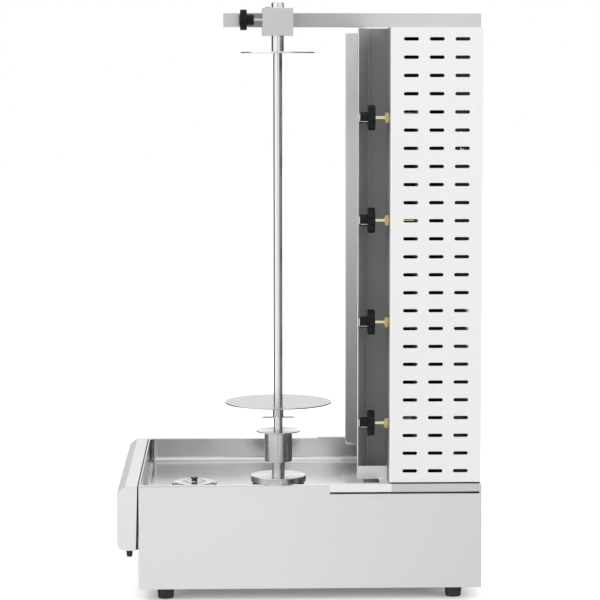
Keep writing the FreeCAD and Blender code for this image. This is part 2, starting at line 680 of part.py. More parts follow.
# Basin: a deep drawn tray whose rim lies on the shell, with the drain and shaft holes
def make_tub(grow, floor_z):
    """A block with the basin's round corners and bends, its sides moved out by grow."""
    body = new_body()
    plan = rectangle(sketch(body, "XY", "rim_z"), f"-(half_width - rim_side + {grow})",
                     f"half_width - rim_side + {grow}", f"shell_front_y + rim_front - {grow}",
                     f"shell_back_y - rim_back + {grow}", f"basin_corner + {grow}")
    pad(body, plan, f"rim_z - ({floor_z})", back=True)
    soften(body, "Fillet", f"basin_bend + {grow}", level_with(floor_z))
    return body


def make_basin():
    rim = new_body()
    plan = rectangle(sketch(rim, "XY", "rim_z"), "-half_width", "half_width", "shell_front_y",
                     "shell_back_y", "shell_corner")
    pad(rim, plan, "sheet_thick", back=True)
    drain = rod("0", "drain_y", "basin_under_z - overcut", "drain_hole_dia/2", "sheet_thick + overcut*2")
    shaft = rod("0", "spit_y", "basin_under_z - overcut", "shaft_hole_dia/2", "sheet_thick + overcut*2")
    tray = cut(fuse(rim, make_tub("sheet_thick", "basin_under_z")), make_tub("0", "basin_floor_z"))
    return node("basin", cut(tray, drain, shaft))


# Drain: a flanged tail in the basin floor, and the strainer basket that lifts out of it
def make_drain():
    tail = new_body()
    inner = "drain_tail_radius - drain_tail_wall"
    low = "basin_under_z - drain_tail_drop"
    revolve(tail, [(inner, low), ("drain_tail_radius", low), ("drain_tail_radius", "basin_floor_z"),
                   ("drain_flange_dia/2", "basin_floor_z"),
                   ("drain_flange_dia/2", "basin_floor_z + drain_flange_thick/2"),
                   ("drain_flange_dia/2 - drain_flange_thick/2", "basin_floor_z + drain_flange_thick"),
                   (inner, "basin_floor_z + drain_flange_thick")])
    place(tail, "0", "drain_y", "0")
    node("drain_tail", tail)

    basket = new_body()
    plate = "basin_floor_z + drain_flange_thick"
    skirt = "drain_tail_radius - drain_tail_wall - rod_play"
    knob = "basket_knob_dia/2"
    revolve(basket, [("0", plate), (f"{skirt} - basket_thick", plate),
                     (f"{skirt} - basket_thick", f"{plate} - basket_skirt"),
                     (skirt, f"{plate} - basket_skirt"), (skirt, plate),
                     ("basket_dia/2", plate), ("basket_dia/2", f"{plate} + basket_thick"),
                     (knob, f"{plate} + basket_thick"),
                     ("basket_knob_waist/2", f"{plate} + basket_thick + basket_knob_height/3"),
                     (knob, f"{plate} + basket_knob_height*2/3"), (knob, f"{plate} + basket_knob_height"),
                     ("0", f"{plate} + basket_knob_height")])
    petal = slot(sketch(basket, "XY", f"{plate} + basket_thick"),
                 "(basket_slot_inner + basket_slot_outer)/2", "0",
                 "basket_slot_outer - basket_slot_inner", "basket_slot_width")
    repeat_round(basket, pocket(basket, petal, "basket_thick"), petal, "basket_petals")
    place(basket, "0", "drain_y", "0")
    node("strainer_basket", basket)


# Fat drawer: an open box behind a hollow folded front that covers the base's full width, with
# rubber seals at its ends
def make_drawer():
    outer = box("-drawer_width/2", "drawer_width/2", "front_y + sheet_thick", "drawer_back_y",
                "drawer_floor_z", "drawer_top_z")
    inner = box("-drawer_width/2 + drawer_wall", "drawer_width/2 - drawer_wall",
                "front_y + sheet_thick + drawer_wall", "drawer_back_y - drawer_wall",
                "drawer_floor_z + drawer_wall", "drawer_top_z + drawer_wall")
    node("drawer_box", cut(outer, inner))

    front = new_body()
    low, top = "drawer_front_z", "rim_z"
    face, rounding = "front_y", "drawer_front_round"
    depth, drop = "drawer_slope_depth", "drawer_slope_drop"
    thick_low, thick_top = "drawer_front_thick", "drawer_front_thick + drawer_front_lean"
    skin = outline(sketch(front, "YZ", "-half_width"), [
        (f"{face} + {rounding}", low), (f"{face} + {thick_low}", low), (f"{face} + {thick_top}", top),
        (f"{face} + {depth}", top), (face, f"{top} - {drop}"),
        (face, f"{low} + {rounding}", f"{face} + {rounding}", f"{low} + {rounding}", "left"),
    ])
    pad(front, skin, "base_width")
    wall = "sheet_thick"
    slant = f"sqrt({depth}^2 + {drop}^2)"
    mitre_top = f"{wall}*({slant} - {depth})/{drop}"
    mitre_face = f"{wall}*({slant} - {drop})/{depth}"
    hollow = outline(sketch(front, "YZ", "-inner_half"), [
        (f"{face} + {rounding}", f"{low} + {wall}"), (f"{face} + {thick_top} + overcut", f"{low} + {wall}"),
        (f"{face} + {thick_top} + overcut", f"{top} - {wall}"),
        (f"{face} + {depth} + {mitre_top}", f"{top} - {wall}"),
        (f"{face} + {wall}", f"{top} - {drop} - {mitre_face}"),
        (f"{face} + {wall}", f"{low} + {rounding}", f"{face} + {rounding}", f"{low} + {rounding}", "left"),
    ])
    pocket(front, hollow, "inner_half*2", back=True)
    node("drawer_front", front)

    runners = []
    bumpers = []
    seals = []
    for side in (LEFT, RIGHT):
        ledge = [f"{side}*(drawer_width/2 - runner_lap)", f"{side}*inner_half"]
        flange = [f"{side}*(inner_half - runner_thick)", f"{side}*inner_half"]
        if side == LEFT:
            ledge.reverse()
            flange.reverse()
        reach = ("shell_front_y + shell_corner", "drawer_back_y")
        runners.append(fuse(box(*ledge, *reach, "drawer_floor_z - runner_thick", "drawer_floor_z"),
                            box(*flange, *reach, "drawer_floor_z - runner_thick",
                                "drawer_floor_z + runner_height")))
        bumpers.append(cone(f"{side}*(half_width - bumper_inset_side)", "front_y + bumper_inset_front",
                            "drawer_front_z - bumper_height", "bumper_low_dia/2", "bumper_top_dia/2",
                            "bumper_height"))
        seal = new_body()
        near, far = "shell_front_y - seal_play", f"{face} + {thick_low} - seal_grip"
        section = outline(sketch(seal, "YZ", f"{side}*inner_half"), [
            (far, f"{low} + {wall}"), (near, f"{low} + {wall}"), (near, f"{top} - {wall}"),
            (f"{face} + {thick_top} - seal_grip", f"{top} - {wall}")])
        pad(seal, section, "seal_width", back=(side == RIGHT))
        seals.append(seal)
    node("drawer_runners", group(*runners))
    node("drawer_bumpers", group(*bumpers))
    node("drawer_seals", group(*seals))


# Drive: the gear motor hangs under the basin floor and its shaft comes up through a gasket
def make_drive():
    gearbox = new_body()
    half = "gearbox_side/2"
    housing = rectangle(sketch(gearbox, "XY", "gearbox_low_z"), f"-{half}", half, f"-{half}", half,
                        "gearbox_corner")
    pad(gearbox, housing, "gearbox_height")
    bore = circle(sketch(gearbox, "XY", "basin_under_z"), "0", "0", "shaft_dia/2 + running_play")
    pocket(gearbox, bore, "gearbox_bore_depth")
    node("gearbox", on_spit_axis(gearbox))

    motor = new_body()
    shoulder = "gearbox_low_z - motor_boss_height"
    low = f"{shoulder} - motor_height"
    rim = "motor_dia/2"
    revolve(motor, [("0", low), (f"{rim} - motor_chamfer", low), (rim, f"{low} + motor_chamfer"),
                    (rim, shoulder), ("motor_boss_dia/2", shoulder),
                    ("motor_boss_dia/2", "gearbox_low_z"), ("0", "gearbox_low_z")])
    node("gear_motor", on_spit_axis(motor))

    gasket = new_body()
    hole = "shaft_hole_dia/2"
    revolve(gasket, [(hole, "basin_floor_z"), ("gasket_dia/2", "basin_floor_z"),
                     ("gasket_dia/2", "bearing_z"), (hole, "bearing_z")])
    node("shaft_gasket", on_spit_axis(gasket))

    flange = new_body()
    bore_radius = "shaft_dia/2 + running_play"
    top = "bearing_z + bearing_thick"
    revolve(flange, [(bore_radius, "bearing_z"), ("bearing_dia/2", "bearing_z"),
                     ("bearing_dia/2", f"{top} - bearing_chamfer"),
                     ("bearing_dia/2 - bearing_chamfer", top), (bore_radius, top)])
    node("bearing_flange", on_spit_axis(flange))

    shaft = new_body()
    radius = "shaft_dia/2"
    revolve(shaft, [("0", "shaft_low_z"), (f"{radius} - rod_tip", "shaft_low_z"),
                    (radius, "shaft_low_z + rod_tip"), (radius, "shaft_top_z"), ("0", "shaft_top_z")])
    node("drive_shaft", on_spit_axis(shaft))

    socket = new_body()
    seat = "rod_dia/2 + rod_play"
    revolve(socket, [("0", "shaft_top_z"), ("socket_dia/2", "shaft_top_z"),
                     ("socket_dia/2", "socket_top_z"), ("socket_plate_dia/2", "socket_top_z"),
                     ("socket_plate_dia/2", "socket_top_z + plate_thick"),
                     (seat, "socket_top_z + plate_thick"), (seat, "rod_low_z"), ("0", "rod_low_z")])
    node("drive_socket", on_spit_axis(socket))


# Spit: a plain rod with a cross pin, and the lower meat disc whose collar rests on the pin
def make_spit():
    spit = new_body()
    top = "rod_low_z + rod_length"
    radius = "rod_dia/2"
    revolve(spit, [("0", "rod_low_z"), (f"{radius} - rod_tip/2", "rod_low_z"),
                   (radius, "rod_low_z + rod_tip/2"), (radius, f"{top} - rod_tip"),
                   (f"{radius} - rod_tip", top), ("0", top)])
    hole = circle(sketch(spit, "XZ", "rod_dia"), "0", "pin_z", "pin_dia/2 + pin_play")
    pocket(spit, hole, "rod_dia*2", back=False)
    node("spit_rod", on_spit_axis(spit))
    node("cross_pin", rod("0", "spit_y - pin_length/2", "pin_z", "pin_dia/2", "pin_length", "y"))

    disc = new_body()
    bore = "rod_dia/2 + rod_play"
    revolve(disc, [(bore, "collar_low_z"), ("collar_dia/2", "collar_low_z"), ("collar_dia/2", "disc_z"),
                   ("meat_disc_dia/2", "disc_z"), ("meat_disc_dia/2", "disc_z + plate_thick"),
                   (bore, "disc_z + plate_thick")])
    node("lower_disc", on_spit_axis(disc))


# Arm: a square tube post behind the base, and the beam that carries the clamp block
def make_arm():
    left, right = "arm_left_x", "arm_left_x + arm_side"
    bore = ("arm_left_x + arm_wall", "arm_left_x + arm_side - arm_wall")
    post = box(left, right, "shell_back_y", "arm_back_y", "post_low_z", "arm_low_z")
    post_bore = box(*bore, "shell_back_y + arm_wall", "arm_back_y - arm_wall", "post_low_z - overcut",
                    "arm_low_z + overcut")
    node("arm_post", cut(post, post_bore))
    beam = box(left, right, "beam_front_y", "arm_back_y", "arm_low_z", "arm_top_z")
    beam_bore = box(*bore, "beam_front_y + arm_wall", "arm_back_y - arm_wall", "arm_low_z + arm_wall",
                    "arm_top_z - arm_wall")
    to_post = box(*bore, "shell_back_y + arm_wall", "arm_back_y - arm_wall", "arm_low_z - overcut",
                  "arm_low_z + arm_wall + overcut")
    node("arm_beam", cut(beam, beam_bore, to_post))

    cleats = []
    for low in ("cleat_low_z", "cleat_low_z + cleat_pitch"):
        high = f"{low} + cleat_height"
        for out, face in ((LEFT, left), (RIGHT, right)):
            spans = [[face, f"{face} + {out}*cleat_leg"], [face, f"{face} + {out}*cleat_thick"]]
            if out == LEFT:
                spans = [span[::-1] for span in spans]
            on_shell = box(*spans[0], "shell_back_y", "shell_back_y + cleat_thick", low, high)
            on_post = box(*spans[1], "shell_back_y", "shell_back_y + cleat_leg", low, high)
            cleats.append(fuse(on_shell, on_post))
    node("post_cleats", group(*cleats))


# Clamp block: slides over the beam, set by a screw from above, and holds the guide sleeve
def make_clamp():
    block = new_body()
    front = "-block_depth/2"
    body_plan = rectangle(sketch(block, "XY", "block_low_z"), "-arm_offset - block_left", "block_right",
                          front, "block_depth/2")
    pad(block, body_plan, "block_top_z - (block_low_z)")
    soften(block, "Chamfer", "block_chamfer", level_with("block_top_z"))
    sleeve_bore = circle(sketch(block, "XY", "block_top_z"), "0", "0", "sleeve_dia/2 + sleeve_fit")
    pocket(block, sleeve_bore)
    tunnel = rectangle(sketch(block, "XZ", "block_depth/2"), "arm_left_x - beam_play",
                       "arm_left_x + arm_side + beam_play", "arm_low_z - beam_play", "arm_top_z")
    pocket(block, tunnel, back=False)
    lock_hole = circle(sketch(block, "XZ", "block_depth/2"), "0", "lock_screw_z",
                       "lock_screw_dia/2 + running_play")
    pocket(block, lock_hole, "block_depth/2")
    set_hole = circle(sketch(block, "XY", "block_top_z"), "-arm_offset",
                      f"{front} + set_screw_from_front", "set_screw_dia/2")
    pocket(block, set_hole, "block_above")
    node("clamp_block", on_spit_axis(block))

    screw_y = "block_front_y + set_screw_from_front"
    shank = rod("-arm_offset", screw_y, "arm_top_z", "set_screw_dia/2", "block_above")
    head = rod("-arm_offset", screw_y, "block_top_z", "set_head_dia/2", "set_head_height")
    node("clamp_set_screw", fuse(shank, head))


# Lobed wheel of a knob: a disc with round grips cut into its edge, local +Z to the user
def lobed_wheel(body, low, thick, diameter, grip_dia, grip_depth):
    wheel = circle(sketch(body, "XY", low), "0", "0", f"({diameter})/2")
    pad(body, wheel, thick)
    soften(body, "Chamfer", "knob_chamfer", lambda edge: edge.BoundBox.ZLength < 0.01)
    grip = circle(sketch(body, "XY", low), "0", f"({diameter} + {grip_dia})/2 - {grip_depth}",
                  f"{grip_dia}/2")
    repeat_round(body, pocket(body, grip, thick, back=True), grip, "knob_lobes")


# Lock screw and knob: press on the guide sleeve from the front
def make_lock():
    reach = "lock_screw_gap + lock_hub_length"
    node("lock_screw", rod("0", f"block_front_y - ({reach})", "lock_screw_z", "lock_screw_dia/2",
                           f"{reach} + block_depth/2 - sleeve_dia/2 - sleeve_fit", "y"))
    knob = new_body()
    lobed_wheel(knob, "lock_hub_length", "lock_head_thick", "lock_head_dia", "lock_grip_dia",
                "lock_grip_depth")
    hub = circle(sketch(knob, "XY"), "0", "0", "lock_hub_dia/2")
    pad(knob, hub, "lock_hub_length + lock_head_thick + lock_head_boss")
    bore = circle(sketch(knob, "XY"), "0", "0", "lock_screw_dia/2")
    pocket(knob, bore, "lock_hub_length", back=True)
    knob.Placement.Rotation = FACING_FRONT
    place(knob, "0", "block_front_y - lock_screw_gap", "lock_screw_z")
    node("lock_knob", knob)


# Guide sleeve: the capped tube that centres the spit's top, with the upper meat disc
def make_guide_sleeve():
    body = new_body()
    bore, outside = "rod_dia/2 + sleeve_play", "sleeve_dia/2"
    low = "sleeve_low_z"
    top = f"{low} + sleeve_length"
    revolve(body, [(bore, low), ("upper_disc_dia/2", low), ("upper_disc_dia/2", f"{low} + plate_thick"),
                   (outside, f"{low} + plate_thick"), (outside, f"{top} - rod_tip"),
                   (f"{outside} - rod_tip", top), ("0", top), ("0", f"{top} - sleeve_cap"),
                   (bore, f"{top} - sleeve_cap")])
    node("guide_sleeve", on_spit_axis(body))


def wing_line(side, grow="0"):
    """Corners in plan along the burner bay's side, from the tower's front to the flared edge,
    moved outwards by grow."""
    lead = f"({grow})*flare_depth/(flare_length)"
    turn = f"({grow})*((flare_length) - flare_run)/flare_depth"
    straight_x = f"{side}*(wing_outer_x + {grow})"
    return [(straight_x, "tower_front_y"), (straight_x, f"flare_back_y + {turn}"),
            (f"{side}*(flare_tip_x + {lead})", f"flare_front_y + ({grow})*flare_run/(flare_length)")]


def hem_centre(side):
    """Where the flared shield's rolled edge stands in plan."""
    return (f"{side}*(flare_tip_x - sheet_thick/2*flare_depth/(flare_length))",
            "flare_front_y - sheet_thick/2*flare_run/(flare_length)")


# Carriage: the tower's foot, which laps over the rims and slides along them, with a shelf under each
# flared shield that ends in an upright lip
def make_carriage():
    pieces = [box("-(shoe_outer_x)", "shoe_outer_x", "deck_front_y", "tower_back_y", "carriage_low_z",
                  "carriage_top_z")]
    for side in (LEFT, RIGHT):
        flange = [f"{side}*(shoe_inner_x)", f"{side}*(shoe_outer_x)"]
        strip = [f"{side}*(half_width - rim_side)", f"{side}*(shoe_outer_x)"]
        shelf = [f"{side}*(bay_half_width)", f"{side}*(lip_outer_x)"]
        lip = [f"{side}*(lip_outer_x - carriage_thick)", f"{side}*(lip_outer_x)"]
        if side == LEFT:
            for span in (flange, strip, shelf, lip):
                span.reverse()
        pieces.append(box(*flange, "shoe_front_y", "tower_back_y", "shoe_low_z", "carriage_top_z"))
        pieces.append(box(*strip, "shoe_front_y", "deck_front_y + overcut", "carriage_low_z",
                          "carriage_top_z"))
        pieces.append(box(*shelf, "shelf_front_y", "deck_front_y + overcut", "carriage_low_z",
                          "carriage_top_z"))
        pieces.append(box(*lip, "shelf_front_y", "tower_front_y", "carriage_low_z",
                          "carriage_top_z + carriage_lip"))
    return node("tower_carriage", fuse(*pieces))


# Burner bay sides: the tower's front face, the bay's side and the flared shield in one sheet
def make_wing(name, side):
    body = new_body()
    low, height = "carriage_top_z", "tower_top_z - (carriage_top_z)"
    far_x = f"{side}*(inner_half - panel_return)"
    back_y = "tower_front_y + sheet_thick"
    inside = wing_line(side, "-sheet_thick")
    corners = [(far_x, "tower_front_y")] + wing_line(side) + inside[:0:-1] + [
        (inside[0][0], back_y), (far_x, back_y)]
    pad(body, outline(sketch(body, "XY", low), corners), height)
    if side == RIGHT:
        hole = circle(sketch(body, "XZ", "-(tower_front_y)"), "tap_x", "tap_low_z", "tap_neck_dia/2")
        cut_hole = pocket(body, hole, "sheet_thick", back=False)
        repeat(body, cut_hole, hole, "V_Axis", "tap_pitch", str(BURNERS))
    return node(name, fuse(body, rod(*hem_centre(side), low, "hem_dia/2", height)))


# Inner shields: a plate on each side of the burners inside the tower, open where the pipes pass
def make_inner_shields():
    plates = []
    for side in (LEFT, RIGHT):
        span = [f"{side}*bay_half_width", f"{side}*wing_outer_x"]
        if side == LEFT:
            span.reverse()
        plate = box(*span, "tower_front_y + sheet_thick", "tower_front_y + shield_depth",
                    "carriage_top_z", "lid_low_z")
        if side == RIGHT:
            through = ("bay_half_width - overcut", "sheet_thick + overcut*2")
            openings = [rod(through[0], "manifold_y", "inlet_z", "feed_dia/2 + shield_play", through[1],
                            "x")]
            for i in range(BURNERS):
                openings.append(rod(through[0], "mixer_y", f"tap_low_z + {i}*tap_pitch",
                                    "injector_dia/2 + shield_play", through[1], "x"))
            plate = cut(plate, *openings)
        plates.append(plate)
    return node("inner_shields", group(*plates))


# Perforated side panels, bent round at the front, with rows of vent slots
def make_side_panel(name, side):
    body = new_body()
    outer, inner = f"{side}*half_width", f"{side}*inner_half"
    bend_x = f"{side}*(half_width - panel_bend)"
    end_x = f"{side}*(inner_half - panel_return)"
    front = "tower_front_y"
    bend_y = f"{front} + panel_bend"
    turn, unturn = ("right", "left") if side == RIGHT else ("left", "right")
    profile = outline(sketch(body, "XY", "tower_low_z"), [
        (outer, "tower_back_y"), (outer, bend_y, bend_x, bend_y, turn),
        (bend_x, front), (end_x, front), (end_x, f"{front} + sheet_thick"),
        (bend_x, f"{front} + sheet_thick", bend_x, bend_y, unturn),
        (inner, bend_y), (inner, "tower_back_y"),
    ])
    pad(body, profile, "tower_height")
    middle_y = "(tower_front_y + tower_back_y)/2"
    first_y = f"{middle_y} - slot_column_pitch*(slot_columns - 1)/2"
    first_z = "tower_low_z + tower_height/2 - slot_row_pitch*(slot_rows - 1)/2"
    vent = slot(sketch(body, "YZ", f"{side}*half_width"), first_y, first_z, "slot_length", "slot_height")
    first = pocket(body, vent, "sheet_thick", back=(side == LEFT))
    repeat_grid(body, first, vent, "slot_columns", "slot_rows")
    return node(name, body)


# Back panel: vent slots near its top and bottom, and the gas inlet's hole
def make_back_panel():
    body = new_body()
    low, top = "carriage_top_z", "lid_low_z"
    plate = rectangle(sketch(body, "XZ", "-(tower_back_y)"), "-inner_half", "inner_half", low, top)
    pad(body, plate, "sheet_thick")
    for row_z in (f"{low} + slot_row_pitch*4", f"{top} - slot_row_pitch*(back_slot_rows + 1)"):
        vent = slot(sketch(body, "XZ", "-(tower_back_y)"), "-slot_column_pitch*(back_slot_columns - 1)/2",
                    row_z, "slot_length", "slot_height")
        first = pocket(body, vent, "sheet_thick", back=True)
        repeat_grid(body, first, vent, "back_slot_columns", "back_slot_rows")
    inlet = circle(sketch(body, "XZ", "-(tower_back_y)"), "inlet_x", "inlet_z",
                   "inlet_dia/2 + inlet_hole_play")
    pocket(body, inlet, "sheet_thick", back=True)
    return node("tower_back_panel", body)


# Lid: one plate over the tower and its burners
def make_lid():
    body = new_body()
    half = [("inner_half", "tower_back_y"), ("inner_half", "tower_front_y + panel_bend"),
            ("half_width - panel_bend", "tower_front_y + sheet_thick"),
            ("bay_half_width", "tower_front_y + sheet_thick"), ("bay_half_width", "burner_front_y")]
    corners = half + [(f"-({x})", y) for x, y in reversed(half)]
    pad(body, outline(sketch(body, "XY", "lid_low_z"), corners), "sheet_thick")
    return node("tower_lid", body)


# Burners: a tray with its mixing tube, two ceramic plaques and a wire guard, four times
def make_burners():
    plaques = []
    guards = []
    half = "bay_half_width"
    inner = "bay_half_width - burner_wall"
    for i in range(BURNERS):
        middle = f"(tap_low_z + {i}*tap_pitch)"
        low, top = f"{middle} - burner_height/2", f"{middle} + burner_height/2"
        tray = box(f"-{half}", half, "burner_front_y", "burner_back_y", low, top)
        hollow = box(f"-({inner})", inner, "burner_front_y - overcut", "burner_back_y - burner_wall",
                     f"{low} + burner_wall", f"{top} - burner_wall")
        start = "mixer_mouth_x - mixer_length"
        tube = rod(start, "mixer_y", middle, "mixer_dia/2", "mixer_length", "x")
        bore = rod(f"{start} + mixer_wall", "mixer_y", middle, "mixer_dia/2 - mixer_wall",
                   "mixer_length", "x")
        throat = box(f"{start}", f"{start} + throat_width", "burner_back_y - burner_wall", "mixer_y",
                     f"{middle} - throat_height/2", f"{middle} + throat_height/2")
        passage = box(f"{start} + mixer_wall", f"{start} + throat_width - mixer_wall",
                      "burner_back_y - burner_wall - overcut", "mixer_y",
                      f"{middle} - throat_height/2 + mixer_wall",
                      f"{middle} + throat_height/2 - mixer_wall")
        shell = fuse(cut(tray, hollow), tube, throat)
        node(f"burner_{i + 1}", cut(shell, fuse(bore, passage)))
        for left, right in ((f"-({inner})", "-plaque_seam/2"), ("plaque_seam/2", inner)):
            plaques.append(box(left, right, "burner_front_y + plaque_inset",
                               "burner_front_y + plaque_inset + plaque_thick",
                               f"{low} + burner_wall", f"{top} - burner_wall"))
        guards.append(make_guard(middle))
    node("ceramic_plaques", group(*plaques))
    node("burner_guards", group(*guards))


def make_guard(middle):
    """A wire guard on a frame that lies on the front edge of a burner tray."""
    front, back = "burner_front_y - guard_thick", "burner_front_y"
    low, top = f"{middle} - burner_height/2", f"{middle} + burner_height/2"
    plate = box("-bay_half_width", "bay_half_width", front, back, low, top)
    window = box("-bay_half_width + guard_border", "bay_half_width - guard_border", f"{front} - overcut",
                 f"{back} + overcut", f"{low} + guard_border", f"{top} - guard_border")
    wires = [cut(plate, window)]
    pitch = "(burner_height - guard_border*2)/(guard_wires + 1)"
    for k in range(int(number("guard_wires"))):
        wires.append(rod("-bay_half_width + guard_border/2", "burner_front_y - guard_thick/2",
                         f"{low} + guard_border + {k + 1}*{pitch}", "guard_wire_dia/2",
                         "bay_half_width*2 - guard_border", "x"))
    return fuse(*wires)


def hex_blank(x, y, z, across, thick):
    """A hexagonal block that starts at x, y, z and runs to the back."""
    made = doc.addObject("Part::Prism", "hexagon")
    made.Polygon = 6
    bind(made, Circumradius=f"({across})/2/cos(30)", Height=thick)
    made.Placement.Rotation = TURNED["y"]
    place(made, x, y, z)
    return made


# Gas train: the manifold with its feed pipe and rear inlet, four taps on it, their nuts and
# injector pipes
def make_gas_train():
    standpipe = rod("tap_x", "manifold_y", "manifold_low_z", "manifold_dia/2",
                    "tap_top_z + manifold_above - (manifold_low_z)")
    feed = rod("inlet_x", "manifold_y", "inlet_z", "feed_dia/2", "tap_x - inlet_x", "x")
    elbow = doc.addObject("Part::Sphere", "elbow")
    bind(elbow, Radius="feed_dia/2 + elbow_grow")
    place(elbow, "inlet_x", "manifold_y", "inlet_z")
    outlet = rod("inlet_x", "manifold_y", "inlet_z", "feed_dia/2", "tower_back_y - (manifold_y)", "y")
    nuts_at = ("tower_back_y - sheet_thick - inlet_nut_thick", "tower_back_y")
    clamps = [hex_blank("inlet_x", y, "inlet_z", "inlet_nut_across", "inlet_nut_thick") for y in nuts_at]
    nipple = rod("inlet_x", "tower_back_y", "inlet_z", "inlet_dia/2", "inlet_reach", "y")
    bore = rod("inlet_x", "tower_back_y", "inlet_z", "inlet_bore/2", "inlet_reach + overcut", "y")
    seats = [rod("tap_x", "tap_back_y", f"tap_low_z + {i}*tap_pitch", "tap_spigot_dia/2",
                 "tap_spigot_length", "y") for i in range(BURNERS)]
    node("gas_manifold", cut(fuse(standpipe, feed, elbow, outlet, nipple, *clamps), bore, *seats))

    taps = []
    nuts = []
    pipes = []
    stem_hole = "stem_dia/2 + running_play"
    for i in range(BURNERS):
        level = f"tap_low_z + {i}*tap_pitch"
        neck = rod("tap_x", "neck_front_y", level, "tap_neck_dia/2", "tap_neck_length", "y")
        barrel = rod("tap_x", "tap_body_y", level, "tap_body_dia/2", "tap_body_length", "y")
        spigot = rod("tap_x", "tap_back_y", level, "tap_spigot_dia/2", "tap_spigot_length", "y")
        chamber = rod("tap_x", "plug_y", level, "plug_dia/2 + running_play", "plug_length", "y")
        way = rod("tap_x", "neck_front_y - overcut", level, stem_hole,
                  "plug_y - (neck_front_y) + overcut*2", "y")
        taps.append(cut(fuse(neck, barrel, spigot), chamber, way))

        blank = hex_blank("tap_x", "nut_front_y", level, "nut_across", "nut_thick")
        hole = rod("tap_x", "nut_front_y - overcut", level, "tap_neck_dia/2",
                   "nut_thick + overcut*2", "y")
        nuts.append(cut(blank, hole))

        start = "mixer_mouth_x + injector_gap"
        injector = rod(start, "mixer_y", level, "injector_dia/2", "injector_length", "x")
        pipe = rod(f"{start} + injector_length", "mixer_y", level, "pipe_dia/2",
                   f"tap_x - ({start} + injector_length)", "x")
        tap_side = rod("tap_x", "tap_body_y", level, "tap_body_dia/2", "tap_body_length", "y")
        pipes.append(cut(fuse(injector, pipe), tap_side))
    node("gas_taps", group(*taps))
    node("tap_nuts", group(*nuts))
    node("injector_pipes", group(*pipes))


# Moving pieces of each tap: the plug turns in the tap, the stem slides in the plug
def make_tap_controls():
    for i in range(BURNERS):
        level = f"tap_low_z + {i}*tap_pitch"
        plug = rod("tap_x", "plug_y + running_play", level, "plug_dia/2",
                   "plug_length - running_play*2", "y")
        keyway = rod("tap_x", "plug_y", level, "stem_dia/2 + running_play",
                     "stem_in_plug + stem_push + overcut", "y")
        node(f"tap_plug_{i + 1}", cut(plug, keyway))
        stem_front = "knob_back_y - knob_wheel_thick"
        node(f"tap_stem_{i + 1}", rod("tap_x", stem_front, level, "stem_dia/2",
                                      f"plug_y + stem_in_plug - ({stem_front})", "y"))
        knob = new_body()
        lobed_wheel(knob, "0", "knob_wheel_thick", "knob_wheel_dia", "knob_grip_dia", "knob_grip_depth")
        boss_top = "knob_wheel_thick + knob_boss_length"
        boss = knob.newObject("PartDesign::Revolution", "boss")
        profile = outline(sketch(knob, "XZ"), [
            ("0", "0"), ("knob_boss_dia/2", "0"), ("knob_boss_dia/2", "knob_wheel_thick"),
            ("knob_boss_tip_dia/2", f"{boss_top} - knob_boss_edge"),
            ("knob_boss_tip_dia/2 - knob_boss_edge", boss_top),
            ("0", boss_top)])
        boss.Profile = profile
        boss.ReferenceAxis = (profile, ["V_Axis"])
        boss.Angle = 360
        knob.Tip = boss
        doc.recompute()
        seat = circle(sketch(knob, "XY"), "0", "0", "stem_dia/2")
        pocket(knob, seat, "knob_wheel_thick", back=True)
        knob.Placement.Rotation = FACING_FRONT
        place(knob, "tap_x", "knob_back_y", level)
        node(f"burner_knob_{i + 1}", knob)


# Motor switch and supply inlet on the back of the shell
def make_electrics():
    half_w, half_h = "switch_width/2", "switch_height/2"
    bezel_back = "shell_back_y + switch_bezel"
    bezel = box(f"-switch_x - {half_w}", f"-switch_x + {half_w}", "shell_back_y", bezel_back,
                f"switch_z - {half_h}", f"switch_z + {half_h}")
    inset = "switch_body_inset"
    housing = box(f"-switch_x - {half_w} + {inset}", f"-switch_x + {half_w} - {inset}",
                  "shell_back_y - switch_body_depth", "shell_back_y", f"switch_z - {half_h} + {inset}",
                  f"switch_z + {half_h} - {inset}")
    cavity = box("-switch_x - rocker_width/2 - rocker_play", "-switch_x + rocker_width/2 + rocker_play",
                 f"{bezel_back} - switch_cavity_depth", f"{bezel_back} + overcut",
                 "switch_z - rocker_height/2 - rocker_play", "switch_z + rocker_height/2 + rocker_play")
    node("switch_housing", cut(fuse(bezel, housing), cavity))

    rocker = new_body()
    crown, belly, reach = "rocker_crown", "rocker_belly", "rocker_reach"
    profile = outline(sketch(rocker, "YZ", "-rocker_width/2"), [
        ("0", f"-{belly}", "0", "0", "right"), ("0", belly),
        (crown, reach), (f"{crown} - {reach}*tan(rocker_tilt)", "0"), (crown, f"-{reach}")])
    pad(rocker, profile, "rocker_width")
    rocker.Placement.Rotation = FreeCAD.Rotation(VECTOR(1, 0, 0), number("rocker_tilt"))
    rocker.setExpression("Placement.Rotation.Angle", bound("rocker_tilt"))
    place(rocker, "-switch_x", "shell_back_y", "switch_z")
    node("switch_rocker", rocker)

    gland = new_body()
    thread, nut, bore = "gland_thread_dia/2", "gland_dia/2", "gland_bore/2"
    revolve(gland, [(bore, "-gland_inside"), (thread, "-gland_inside"), (thread, "0"), (nut, "0"),
                    (nut, "gland_nut_length"), ("gland_tip_dia/2", "gland_reach"), (bore, "gland_reach")])
    gland.Placement.Rotation = TURNED["y"]
    place(gland, "-gland_x", "shell_back_y", "gland_z")
    node("supply_gland", gland)


make_base_shell()
make_base_floor_pan()
make_feet()
make_basin()
make_drain()
make_drawer()
make_drive()
make_spit()
make_arm()
make_clamp()
make_lock()
make_guide_sleeve()
make_carriage()
make_wing("burner_wing_right", RIGHT)
make_wing("burner_wing_left", LEFT)
make_inner_shields()
make_side_panel("tower_side_right", RIGHT)
make_side_panel("tower_side_left", LEFT)
make_back_panel()
make_lid()
make_burners()
make_gas_train()
make_tap_controls()
make_electrics()

